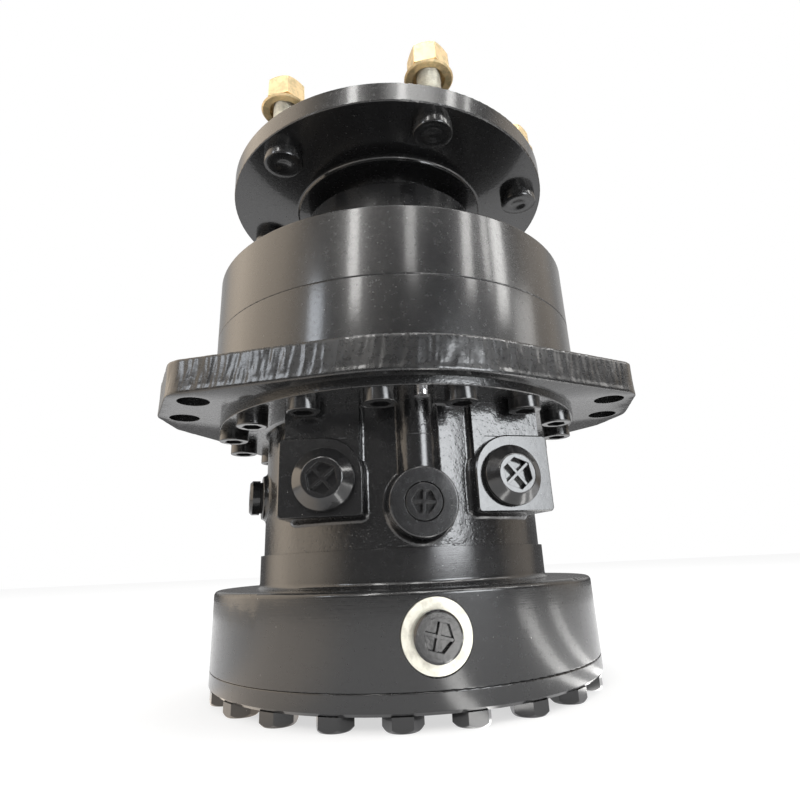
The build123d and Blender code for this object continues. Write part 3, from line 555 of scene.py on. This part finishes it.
def finished(
    shape: bmesh.types.BMesh, name: str, material: bpy.types.Material, sharp: float = 35.0
) -> bpy.types.Object:
    """Turn a bmesh into a smooth-shaded piece with crisp edges.

    Args:
        shape: the modelled shape, freed here.
        name: name of the piece.
        material: its finish.
        sharp: edges sharper than this many degrees stay crisp.

    Returns:
        The piece's object.
    """
    bmesh.ops.recalc_face_normals(shape, faces=shape.faces)
    for face in shape.faces:
        face.smooth = True
    for edge in shape.edges:
        if len(edge.link_faces) == 2:
            edge.smooth = edge.calc_face_angle(0.0) < math.radians(sharp)
    mesh = bpy.data.meshes.new(name)
    shape.to_mesh(mesh)
    shape.free()
    mesh.materials.append(material)
    piece = bpy.data.objects.new(name, mesh)
    bpy.context.scene.collection.objects.link(piece)
    return piece


def circle(
    shape: bmesh.types.BMesh, centre: Vector, radius: float, segments: int
) -> list[bmesh.types.BMEdge]:
    """Add a level circle to a bmesh.

    Args:
        shape: bmesh that takes it.
        centre: its centre.
        radius: its radius.
        segments: number of its edges.

    Returns:
        Its edges.
    """
    place = Matrix.Translation(centre)
    made = bmesh.ops.create_circle(shape, segments=segments, radius=radius, matrix=place)
    return list({edge for vert in made["verts"] for edge in vert.link_edges})


def of_kind(items: list, kind: type) -> list:
    """The items of one bmesh type."""
    return [item for item in items if isinstance(item, kind)]


@dataclass
class MountingPlate:
    """Eared plate with a flame-cut rim, in place of its plain CAD solid."""

    front_r: float = 127.5 * MM
    ear_rounds: tuple[tuple[float, float, float], ...] = (
        (122.2 * MM, -73.0 * MM, 15.5 * MM),
        (135.4 * MM, -37.0 * MM, 15.5 * MM),
        (130.0 * MM, -12.0 * MM, 18.0 * MM),
    )
    hole_r: float = 8.75 * MM
    bore_r: float = 92.0 * MM
    step: float = 0.8 * MM
    rows: int = 15
    corner: float = 0.7 * MM
    line_depth: float = 0.2 * MM
    fine_depth: float = 0.09 * MM
    wave_depth: float = 0.3 * MM
    mean_depth: float = 0.3 * MM
    drag: float = 2.5 * MM

    def outline(self, shape: bmesh.types.BMesh, low: float, high: float) -> None:
        """Leave the hull of the plate's rounds in the bmesh as a closed loop at the lower face.

        Args:
            shape: empty bmesh.
            low: height of the lower face.
            high: height of the upper face.
        """
        rounds = [(0.0, 0.0, self.front_r)]
        rounds += [(side * x, y, r) for x, y, r in self.ear_rounds for side in (-1, 1)]
        for x, y, radius in rounds:
            for level in (low, high):
                segments = int(2 * math.pi * radius / self.step)
                circle(shape, Vector((x, y, level)), radius, segments)
        hull = bmesh.ops.convex_hull(shape, input=shape.verts)
        loose = of_kind(hull["geom_interior"] + hull["geom_unused"], bmesh.types.BMVert)
        bmesh.ops.delete(shape, geom=list(set(loose)), context="VERTS")
        bmesh.ops.dissolve_limit(shape, angle_limit=math.radians(0.05), verts=shape.verts, edges=shape.edges)
        middle = (low + high) / 2
        bmesh.ops.delete(shape, geom=[v for v in shape.verts if v.co.z > middle], context="VERTS")
        bmesh.ops.delete(shape, geom=list(shape.faces), context="FACES_ONLY")
        for edge in list(shape.edges):
            cuts = int(edge.calc_length() / self.step) - 1
            if cuts > 0:
                bmesh.ops.subdivide_edges(shape, edges=[edge], cuts=cuts)

    def rim_depth(self, place: Vector, low: float, high: float) -> float:
        """How far the flame cut lies inside the plate's nominal edge at a point.

        Args:
            place: point of the nominal edge.
            low: height of the lower face.
            high: height of the upper face.

        Returns:
            Depth in metres.
        """
        share = (place.z - low) / (high - low)
        lag = self.drag * (1 - share) ** 2
        along = Vector((place.x + lag, place.y - lag, 0.0))
        lines = noise.noise(along / (2.1 * MM) + Vector((0, 0, share * 0.7)))
        fine = noise.noise(along / (1.0 * MM) + Vector((0, 0, share * 2.2 + 7.0)))
        waves = noise.noise(along / (7.5 * MM) + Vector((0, 0, share * 1.2 + 3.0)))
        depth = self.mean_depth + self.line_depth * lines + self.fine_depth * fine + self.wave_depth * waves
        bead = math.exp(-(((share - 0.07) / 0.05) ** 2))
        edge = min(share, 1 - share) * (high - low)
        rounded = max(0.0, 1 - edge / self.corner)
        return max(0.0, depth * (1 - 0.75 * bead)) + self.corner * 0.75 * rounded**2

    def build(self, material: bpy.types.Material) -> bpy.types.Object:
        """Model the plate.

        Args:
            material: its finish.

        Returns:
            The finished piece.
        """
        corner_low, corner_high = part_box("mounting_plate")
        low, high = corner_low.z, corner_high.z
        shape = bmesh.new()
        self.outline(shape, low, high)
        edges = bottom = list(shape.edges)
        levels = [0.0, 0.015, 0.035]
        levels += [0.035 + 0.93 * k / self.rows for k in range(1, self.rows + 1)]
        levels += [0.985, 1.0]
        for start, end in zip(levels, levels[1:]):
            made = bmesh.ops.extrude_edge_only(shape, edges=edges)["geom"]
            verts = set(of_kind(made, bmesh.types.BMVert))
            edges = [edge for edge in of_kind(made, bmesh.types.BMEdge) if verts.issuperset(edge.verts)]
            bmesh.ops.translate(shape, verts=list(verts), vec=(0, 0, (end - start) * (high - low)))
        bmesh.ops.recalc_face_normals(shape, faces=shape.faces)
        shape.normal_update()
        inwards = {vert: -Vector((vert.normal.x, vert.normal.y, 0)).normalized() for vert in shape.verts}
        outside = sum(-inwards[vert].dot(Vector((vert.co.x, vert.co.y, 0))) for vert in shape.verts)
        sense = 1 if outside > 0 else -1
        for vert, direction in inwards.items():
            vert.co += sense * direction * self.rim_depth(vert.co.copy(), low, high)
        for level, rim in ((low, bottom), (high, edges)):
            lines = list(rim)
            for x, y, radius in self.holes():
                segments = 96 if radius > 20 * MM else 48
                lines += circle(shape, Vector((x, y, level)), radius, segments)
            bmesh.ops.triangle_fill(shape, use_beauty=True, edges=lines)
        for x, y, radius in self.holes():
            wall = [edge for edge in shape.edges if self.on_hole(edge, x, y, radius)]
            bmesh.ops.bridge_loops(shape, edges=wall)
        piece = finished(shape, "eared_plate", material, 50.0)
        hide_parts("mounting_plate")
        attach(piece, "housing")
        log.info("mounting plate: %d faces", len(piece.data.polygons))
        return piece

    def holes(self) -> list[tuple[float, float, float]]:
        """Centre and radius of each hole: the bore and the four chassis holes."""
        ears = [(side * x, y, self.hole_r) for x, y, _ in self.ear_rounds[:2] for side in (-1, 1)]
        return [(0.0, 0.0, self.bore_r)] + ears

    def on_hole(self, edge: bmesh.types.BMEdge, x: float, y: float, radius: float) -> bool:
        """Whether an edge lies on a hole's rim."""
        reach = [math.hypot(vert.co.x - x, vert.co.y - y) for vert in edge.verts]
        return len(edge.link_faces) == 1 and all(abs(r - radius) < 0.01 * MM for r in reach)


@dataclass
class WheelStuds:
    """Pressed-in studs with rolled threads, in place of their plain CAD solids."""

    count: int = 6
    circle_r: float = 102.5 * MM
    phase: float = 10.0
    thread_r: float = 8.0 * MM
    thread_pitch: float = 1.5 * MM
    thread_depth: float = 0.85 * MM
    thread_start: float = 1.5 * MM
    head_r: float = 13.0 * MM
    head_thick: float = 8.0 * MM
    seat: float = -14.5 * MM
    nut_top: float = 43.8 * MM
    dimple_r: float = 4.2 * MM
    dimple_rim_r: float = 5.2 * MM
    dimple_depth: float = 0.5 * MM
    head_edge: tuple[tuple[float, float], ...] = ((1.5 * MM, 0.0), (0.4 * MM, 0.4 * MM), (0.0, 1.4 * MM))
    end_height: float = 1.5 * MM
    end_taper: float = 1.2 * MM
    steps: int = 30

    def body(self, shape: bmesh.types.BMesh, low: float, seat: float, top: float) -> None:
        """Add the head, the neck and the core of the shank as one turned form.

        Args:
            shape: bmesh that takes the form.
            low: height of the head's lower face.
            seat: height of the head's seat.
            top: height of the shank's end.
        """
        core = self.thread_r - self.thread_depth
        line = [
            (0.0, low + self.dimple_depth),
            (self.dimple_r, low + self.dimple_depth),
            (self.dimple_rim_r, low),
            *((self.head_r - inwards, low + upwards) for inwards, upwards in self.head_edge),
            (self.head_r, seat),
            (self.thread_r, seat),
            (self.thread_r, self.thread_start - 0.6 * MM),
            (core, self.thread_start),
            (core, top - self.end_height),
            (core - self.end_taper, top),
            (0.0, top),
        ]
        self.turn(shape, line)

    def turn(self, shape: bmesh.types.BMesh, line: list[tuple[float, float]]) -> None:
        """Spin a line of (radius, height) points about the stud's axis.

        Args:
            shape: bmesh that takes the form.
            line: the half section.
        """
        verts = [shape.verts.new((radius, 0, height)) for radius, height in line]
        edges = [shape.edges.new(pair) for pair in zip(verts, verts[1:])]
        bmesh.ops.spin(
            shape, geom=verts + edges, cent=(0, 0, 0), axis=(0, 0, 1), angle=2 * math.pi, steps=self.steps,
            use_merge=True,
        )
        bmesh.ops.remove_doubles(shape, verts=shape.verts, dist=0.001 * MM)

    def thread(self, low: float, high: float) -> bmesh.types.BMesh:
        """Model the rolled thread as one helix that is cut off square and closed.

        Args:
            low: height where it starts.
            high: height where it ends.

        Returns:
            A bmesh of its own.
        """
        shape = bmesh.new()
        crest, root = self.thread_r, self.thread_r - self.thread_depth
        pitch = self.thread_pitch
        flank = [(root, 0.0), (crest, 0.4), (crest, 0.52), (root, 0.92), (root, 1.0)]
        verts = [shape.verts.new((radius, 0, low - pitch + share * pitch)) for radius, share in flank]
        edges = [shape.edges.new(pair) for pair in zip(verts, verts[1:])]
        turns = math.ceil((high - low) / pitch) + 2
        bmesh.ops.spin(
            shape, geom=verts + edges, cent=(0, 0, 0), axis=(0, 0, 1), dvec=(0, 0, pitch / self.steps),
            angle=2 * math.pi * turns, steps=self.steps * turns, use_merge=False,
        )
        bmesh.ops.remove_doubles(shape, verts=shape.verts, dist=0.01 * MM)
        for level, side in ((low, -1), (high, 1)):
            everything = list(shape.verts) + list(shape.edges) + list(shape.faces)
            cut = bmesh.ops.bisect_plane(
                shape, geom=everything, dist=0.0005 * MM, clear_outer=True,
                plane_co=(0, 0, level), plane_no=(0, 0, side),
            )
            rim = of_kind(cut["geom_cut"], bmesh.types.BMEdge)
            bmesh.ops.triangle_fill(shape, use_beauty=True, edges=rim)
        return shape

    def build(self, material: bpy.types.Material, paint: bpy.types.Material) -> bpy.types.Object:
        """Model all the studs as one piece.

        Args:
            material: their finish.
            paint: finish of the heads, which are painted over with the flange.

        Returns:
            The finished piece.
        """
        one = bmesh.new()
        self.body(one, self.seat - self.head_thick, self.seat, self.nut_top)
        mesh = bpy.data.meshes.new("thread_part")
        thread = self.thread(self.thread_start, self.nut_top - 1.0 * MM)
        thread.to_mesh(mesh)
        thread.free()
        one.from_mesh(mesh)
        bpy.data.meshes.remove(mesh)
        single = bpy.data.meshes.new("stud_part")
        one.to_mesh(single)
        one.free()
        group = bmesh.new()
        for number in range(self.count):
            first = len(group.verts)
            group.from_mesh(single)
            group.verts.ensure_lookup_table()
            turn = Matrix.Rotation(math.radians(self.phase + 360 / self.count * number), 4, "Z")
            place = turn @ Matrix.Translation((0, -self.circle_r, 0)) @ Matrix.Rotation(0.9 * number, 4, "Z")
            bmesh.ops.transform(group, matrix=place, verts=group.verts[first:])
        bpy.data.meshes.remove(single)
        piece = finished(group, "threaded_studs", material, 40.0)
        piece.data.materials.append(paint)
        for face in piece.data.polygons:
            if face.center.z < self.seat + 0.1 * MM:
                face.material_index = 1
        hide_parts("wheel_studs")
        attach(piece, "output")
        log.info("studs: %d faces", len(piece.data.polygons))
        return piece


@dataclass
class ReshapedNode:
    """A CAD node's mesh, joined and moved a few millimetres to the photographed proportions."""

    node: str
    name: str
    body: str
    slot: str = "black_paint"
    merge_distance: float = 0.002 * MM
    slack: float = 1.02
    touch: float = 0.01 * MM
    low: Vector = field(default_factory=Vector)
    high: Vector = field(default_factory=Vector)

    def moved(self, place: Vector) -> Vector:
        """Where a point of the CAD mesh goes."""
        return place

    def build(self, material: bpy.types.Material) -> bpy.types.Object:
        """Model the piece.

        Args:
            material: its finish.

        Returns:
            The finished piece.
        """
        self.low, self.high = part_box(self.node)
        shape = bmesh.new()
        shape.from_mesh(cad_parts[self.node].data)
        bmesh.ops.remove_doubles(shape, verts=shape.verts, dist=self.merge_distance)
        for vert in shape.verts:
            vert.co = self.moved(vert.co.copy())
        piece = finished(shape, self.name, material, 29.0)
        piece.modifiers.new("weighted_normals", "WEIGHTED_NORMAL").keep_sharp = True
        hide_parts(self.node)
        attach(piece, self.body)
        log.info("%s: %d faces", self.name, len(piece.data.polygons))
        return piece


def drawn(place: Vector, reach: float, height: float) -> Vector:
    """A point moved to another distance from the shaft axis and another height.

    Args:
        place: the point.
        reach: its new distance from the axis.
        height: its new height.

    Returns:
        The moved point.
    """
    flat = Vector((place.x, place.y, 0))
    if flat.length > 0:
        flat = flat.normalized() * reach
    return Vector((flat.x, flat.y, height))


@dataclass
class BearingHousing(ReshapedNode):
    """Nose and upper drum, with the drum's top edge as high and as crisp as photographed."""

    node: str = "bearing_housing"
    name: str = "drum_head"
    body: str = "housing"
    nose_length: float = 65.0 * MM
    lift: float = 3.0 * MM
    flare: float = 16.0 * MM
    inner_reach: float = 64.0 * MM
    wide_round: float = 3.0 * MM
    crisp_round: float = 1.0 * MM

    def moved(self, place: Vector) -> Vector:
        """Lift the drum's top face with the flare over it, and tighten its edge."""
        top = self.high.z - self.nose_length
        reach = math.hypot(place.x, place.y)
        lowest, highest = top - self.wide_round * self.slack, top + self.flare * self.slack
        if reach < self.inner_reach or not lowest < place.z < highest:
            return place
        inner = self.high.x - self.wide_round
        if reach < inner - self.touch:
            return place + Vector((0, 0, self.lift))
        ratio = self.crisp_round / self.wide_round
        new_top = top + self.lift
        new_reach = self.high.x - self.crisp_round + (reach - inner) * ratio
        return drawn(place, new_reach, new_top - (top - place.z) * ratio)


@dataclass
class PortCasting(ReshapedNode):
    """Port housing, with its flange as thin as photographed."""

    node: str = "port_housing"
    name: str = "port_casting"
    body: str = "housing"
    flange_thick: float = 10.5 * MM
    lift: float = 5.5 * MM
    trim: float = 1.7 * MM
    wall_r: float = 85.0 * MM
    fillet: float = 3.0 * MM
    rim_band: float = 2.5 * MM
    near_under: float = 1.0 * MM

    def moved(self, place: Vector) -> Vector:
        """Lift the flange's lower face with the fillets under it, and trim its rim."""
        under = self.high.z - self.flange_thick
        reach = math.hypot(place.x, place.y)
        if reach < self.wall_r or place.z < under - self.fillet * self.slack:
            return place
        height = place.z + (self.lift if place.z < under + self.near_under else 0.0)
        if reach > self.high.x - self.rim_band:
            return drawn(place, reach - self.trim, height)
        return Vector((place.x, place.y, height))


@dataclass
class LayerScrews(ReshapedNode):
    """Low-headed screws under the thin port flange."""

    node: str = "layer_screws"
    name: str = "low_head_screws"
    body: str = "housing"
    lift: float = 5.5 * MM
    tall_head: float = 12.0 * MM
    low_head: float = 7.0 * MM
    inwards: float = 1.0 * MM

    def moved(self, place: Vector) -> Vector:
        """Shorten the heads and seat them on the raised face."""
        seat = self.low.z + self.tall_head
        height = place.z
        if place.z < seat + self.touch:
            height = seat + self.lift + (place.z - seat) * self.low_head / self.tall_head
        reach = math.hypot(place.x, place.y)
        return drawn(place, reach - self.inwards, height)


@dataclass
class WheelNuts(ReshapedNode):
    """Washer-faced nuts, as low on the studs and as short as photographed."""

    node: str = "wheel_nuts"
    name: str = "flange_nuts"
    body: str = "output"
    slot: str = "zinc_yellow"
    count: int = 6
    circle_r: float = 102.5 * MM
    phase: float = 10.0
    drop: float = 2.0 * MM
    washer_thick: float = 5.0 * MM
    short_share: float = 0.67
    hexagon_turn: float = 30.0
    narrow_share: float = 0.96
    bore_r: float = 9.5 * MM
    bore_share: float = 8.05 / 8.82  # radius of the shown bore over that of the CAD bore

    def moved(self, place: Vector) -> Vector:
        """Lower the nut, shorten and narrow its hexagon, and close its bore round the thin stud."""
        washer_top = self.low.z + self.washer_thick
        step = 360 / self.count
        number = round((math.degrees(math.atan2(place.x, -place.y)) - self.phase) / step)
        angle = math.radians(self.phase + step * number)
        axis = Vector((math.sin(angle) * self.circle_r, -math.cos(angle) * self.circle_r, 0))
        off = Vector((place.x - axis.x, place.y - axis.y, 0))
        share = self.narrow_share if place.z > washer_top + 0.1 * MM else 1.0
        if off.length < self.bore_r:
            share = self.bore_share
        height = place.z - self.drop
        if place.z > washer_top:
            height = washer_top - self.drop + (place.z - washer_top) * self.short_share
        off = Matrix.Rotation(math.radians(self.hexagon_turn), 3, "Z") @ off
        return axis + off * share + Vector((0, 0, height))


@dataclass(frozen=True)
class LightBand:
    """One bright part of the studio that the paint reflects."""

    azimuth: float
    half_width: float
    strength: float
    low: float = -20.0
    high: float = 60.0
    soft: float = 0.6
    colour: Colour = (1.0, 0.99, 0.97)


@dataclass(frozen=True)
class Lamp:
    """One soft square lamp: where it hangs, the point it faces, its side in metres and its power in watts."""

    name: str
    place: Colour
    aim: Colour
    size: float
    power: float
    colour: Colour = (1.0, 1.0, 1.0)

    def hang(self) -> None:
        """Put the lamp in the scene."""
        light = bpy.data.lights.new(self.name, "AREA")
        light.size = self.size
        light.energy = self.power
        light.color = self.colour
        lamp = bpy.data.objects.new(self.name, light)
        lamp.location = self.place
        ahead = Vector(self.aim) - Vector(self.place)
        lamp.rotation_euler = ahead.to_track_quat("-Z", "Y").to_euler()
        bpy.context.scene.collection.objects.link(lamp)


@dataclass
class Studio:
    """Pale floor, soft lamps, the walls that the gloss reflects, and the camera."""

    floor_size: float = 8.0
    wall_radius: float = 1.1
    wall_height: float = 3.0
    wall_colour: Colour = (0.12, 0.118, 0.12)
    bands: tuple[LightBand, ...] = (
        LightBand(-28, 3.0, 12.0, low=25),
        LightBand(-51, 4.0, 8.0, low=17, high=28, colour=(0.86, 0.92, 1.0)),
        LightBand(13, 15.0, 4.5, low=40),
        LightBand(5, 3.0, 7.0, low=29),
        LightBand(39, 3.0, 10.0, low=27),
        LightBand(51.5, 2.0, 7.0, low=28),
        LightBand(60, 4.0, 10.0, low=24, high=38),
        LightBand(75, 8.0, 3.0, low=18, high=27),
        LightBand(30, 12.0, 11.0, low=-4, high=17, colour=(0.94, 0.97, 1.0)),
        LightBand(-92, 32.0, 1.9, colour=(1.0, 0.85, 0.68)),
        LightBand(93, 17.0, 0.55, colour=(1.0, 0.86, 0.7)),
        LightBand(142, 30.0, 0.4, low=2),
        LightBand(-152, 22.0, 0.35, low=2),
    )
    floor_colour: Colour = (0.55, 0.55, 0.56)
    near_floor: float = 0.66
    floor_fade: float = 0.1
    far_share: float = 0.05
    floor_tone: Colour = (0.42, 0.42, 0.42)
    floor_seen: Colour = (0.62, 0.62, 0.62)
    world_level: float = 0.75
    eye_drop: float = 0.2
    floor_bands: tuple[LightBand, ...] = (
        LightBand(56, 4.0, 5.0),
        LightBand(76, 4.0, 3.0),
        LightBand(10, 3.5, 5.0),
        LightBand(-62, 22.0, 0.5, colour=(1.0, 0.72, 0.42)),
    )
    camera_place: Colour = (-0.0463, -0.3771, -0.2785)
    camera_yaw: float = 0.77
    camera_pitch: float = 18.87
    camera_roll: float = -2.47
    camera_turn: float = -7.0
    focal_pixels: float = 548.0
    centre_row: float = 374.0
    shift_right: float = 1.9
    sensor: float = 36.0
    lamps: tuple[Lamp, ...] = (
        Lamp("front_lamp", (-0.7, -1.3, 0.9), (0, 0, 0), 0.8, 14.0, (1.0, 0.97, 0.92)),
        Lamp("side_lamp", (1.4, -0.4, 0.8), (0, 0, -0.1), 0.9, 10.0),
        Lamp("top_lamp", (0.0, 0.3, 1.8), (0, 0, 0), 1.2, 16.0),
    )

    def world(self) -> None:
        """White behind the object, plain light on it."""
        world = bpy.data.worlds.new("studio_world")
        world.use_nodes = True
        tree = world.node_tree
        back = tree.nodes["Background"]
        back.inputs["Color"].default_value = (1, 1, 1, 1)
        path = tree.nodes.new("ShaderNodeLightPath")
        seen = tree.nodes.new("ShaderNodeMath")
        seen.operation = "MAXIMUM"
        tree.links.new(path.outputs["Is Camera Ray"], seen.inputs[0])
        both = tree.nodes.new("ShaderNodeMath")
        both.operation = "MAXIMUM"
        tree.links.new(path.outputs["Is Glossy Ray"], both.inputs[0])
        tree.links.new(path.outputs["Is Transmission Ray"], both.inputs[1])
        tree.links.new(both.outputs[0], seen.inputs[1])
        level = tree.nodes.new("ShaderNodeMapRange")
        level.inputs["To Min"].default_value = self.world_level
        level.inputs["To Max"].default_value = 1.0
        tree.links.new(seen.outputs[0], level.inputs["Value"])
        tree.links.new(level.outputs["Result"], back.inputs["Strength"])
        bpy.context.scene.world = world

    def floor(self) -> None:
        """Pale floor that the motor stands on."""
        shape = bmesh.new()
        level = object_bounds()[0][2]
        place = Matrix.Translation((0, 0, level))
        bmesh.ops.create_grid(shape, x_segments=1, y_segments=1, size=self.floor_size / 2, matrix=place)
        sheet = MaterialTree("pale_floor")
        path = sheet.add("ShaderNodeLightPath")
        inputs = sheet.shader.inputs
        inputs["Base Color"].default_value = (*self.floor_tone, 1)
        inputs["Roughness"].default_value = 0.9
        inputs["Specular IOR Level"].default_value = 0.0
        inputs["Emission Strength"].default_value = 1.0
        mirrored = self.banded(sheet, self.floor_colour, self.floor_bands)
        start, end = self.near_floor - self.floor_fade, self.near_floor + self.floor_fade
        far = sheet.spread(sheet.reach(), start, end, 1.0, self.far_share)
        shown = sheet.blend(sheet.math("SUBTRACT", 1.0, far), mirrored, (0.0, 0.0, 0.0))
        shown = sheet.blend(path.outputs["Is Glossy Ray"], self.floor_seen, shown)
        lit = sheet.math("ADD", path.outputs["Is Camera Ray"], path.outputs["Is Glossy Ray"])
        lit = sheet.math("ADD", lit, path.outputs["Is Transmission Ray"], clamp=True)
        sheet.link(sheet.blend(lit, (0.0, 0.0, 0.0), shown), inputs["Emission Color"])
        finished(shape, "studio_floor", sheet.material)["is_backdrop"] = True

    def banded(
        self, sheet: MaterialTree, ground: Colour, bands: tuple[LightBand, ...], rise: Socket | None = None
    ) -> Socket:
        """Colour of a surface that carries bright bands.

        Args:
            sheet: the material being built.
            ground: colour between the bands.
            bands: the bands.
            rise: elevation in degrees, left out where the bands run over every elevation.

        Returns:
            The colour.
        """
        azimuth = sheet.azimuth()
        total: Socket | Colour = ground
        for band in bands:
            off = sheet.math("ABSOLUTE", sheet.math("SUBTRACT", azimuth, band.azimuth))
            inner = band.half_width * (1 - band.soft)
            outer = band.half_width * (1 + band.soft)
            share = sheet.spread(off, inner, outer, band.strength, 0.0)
            if rise is not None:
                low = sheet.spread(rise, band.low - 2, band.low + 2, 0.0, 1.0)
                high = sheet.spread(rise, band.high - 2, band.high + 2, 1.0, 0.0)
                share = sheet.math("MULTIPLY", share, sheet.math("MULTIPLY", low, high))
            tint = sheet.add("ShaderNodeMix", data_type="RGBA", blend_type="ADD", clamp_factor=False)
            sheet.fill(tint.inputs["Factor"], share)
            sheet.fill(tint.inputs[6], total)
            sheet.fill(tint.inputs[7], band.colour)
            total = tint.outputs[2]
        return total

    def walls(self) -> None:
        """Dark walls with bright bands, seen only by reflections."""
        shape = bmesh.new()
        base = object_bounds()[0][2]
        edges = circle(shape, Vector((0, 0, base - 0.02)), self.wall_radius, 128)
        rim = of_kind(bmesh.ops.extrude_edge_only(shape, edges=edges)["geom"], bmesh.types.BMVert)
        bmesh.ops.translate(shape, verts=rim, vec=(0, 0, self.wall_height))
        bmesh.ops.contextual_create(shape, geom=rim)
        sheet = MaterialTree("studio_walls")
        tree = sheet.tree
        tree.nodes.remove(sheet.shader)
        glow = sheet.add("ShaderNodeEmission")
        above = sheet.math("ADD", sheet.height(), self.eye_drop)
        rise = sheet.math("DEGREES", sheet.math("ARCTAN2", above, sheet.reach()))
        sheet.link(self.banded(sheet, self.wall_colour, self.bands, rise), glow.inputs["Color"])
        sheet.link(glow.outputs[0], tree.nodes["Material Output"].inputs["Surface"])
        walls = finished(shape, "studio_walls", sheet.material)
        for ray in ("camera", "diffuse", "transmission", "volume_scatter", "shadow"):
            setattr(walls, f"visible_{ray}", False)
        walls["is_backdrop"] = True

    def camera(self) -> None:
        """Camera at the photograph's place and angle."""
        angles = (self.camera_yaw, self.camera_pitch, self.camera_roll)
        yaw, pitch, roll = (math.radians(angle) for angle in angles)
        ahead = Vector((math.sin(yaw) * math.cos(pitch), math.cos(yaw) * math.cos(pitch), math.sin(pitch)))
        right = Vector((math.cos(yaw), -math.sin(yaw), 0))
        up = right.cross(ahead)
        tilted_right = math.cos(roll) * right + math.sin(roll) * up
        tilted_up = -math.sin(roll) * right + math.cos(roll) * up
        axes = Matrix((tilted_right, tilted_up, -ahead)).transposed()
        turn = Matrix.Rotation(math.radians(self.camera_turn), 3, "Z")
        data = bpy.data.cameras.new("photo_camera")
        data.sensor_width = self.sensor
        data.lens = self.focal_pixels / PICTURE_SIDE * self.sensor
        data.shift_x = -self.shift_right / PICTURE_SIDE
        data.shift_y = (self.centre_row - PICTURE_SIDE / 2) / PICTURE_SIDE
        data.clip_start = 0.01
        camera = bpy.data.objects.new("photo_camera", data)
        camera.matrix_world = Matrix.Translation(Vector(self.camera_place)) @ (turn @ axes).to_4x4()
        bpy.context.scene.collection.objects.link(camera)
        bpy.context.scene.camera = camera

    def build(self) -> None:
        """Set up the whole studio."""
        bpy.context.scene.view_settings.view_transform = "Standard"
        self.world()
        self.floor()
        self.walls()
        self.camera()
        for lamp in self.lamps:
            lamp.hang()
        log.info("studio is set")


def finish_of(node: str) -> bpy.types.Material:
    """The material that dresses a CAD node."""
    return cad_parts[node].data.materials[0]


def main() -> None:
    """Dress the motor, piece by piece."""
    logging.basicConfig(level=logging.INFO, format="%(name)s: %(message)s")
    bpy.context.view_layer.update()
    Studio().build()
    Finishes().dress()
    SmoothShading().dress()
    MountingPlate().build(finish_of("mounting_plate"))
    WheelStuds().build(finish_of("wheel_studs"), finish_of("output_shaft"))
    for piece in (BearingHousing(), PortCasting(), LayerScrews(), WheelNuts()):
        piece.build(finish_of(piece.node))


if __name__ == "__main__":
    main()
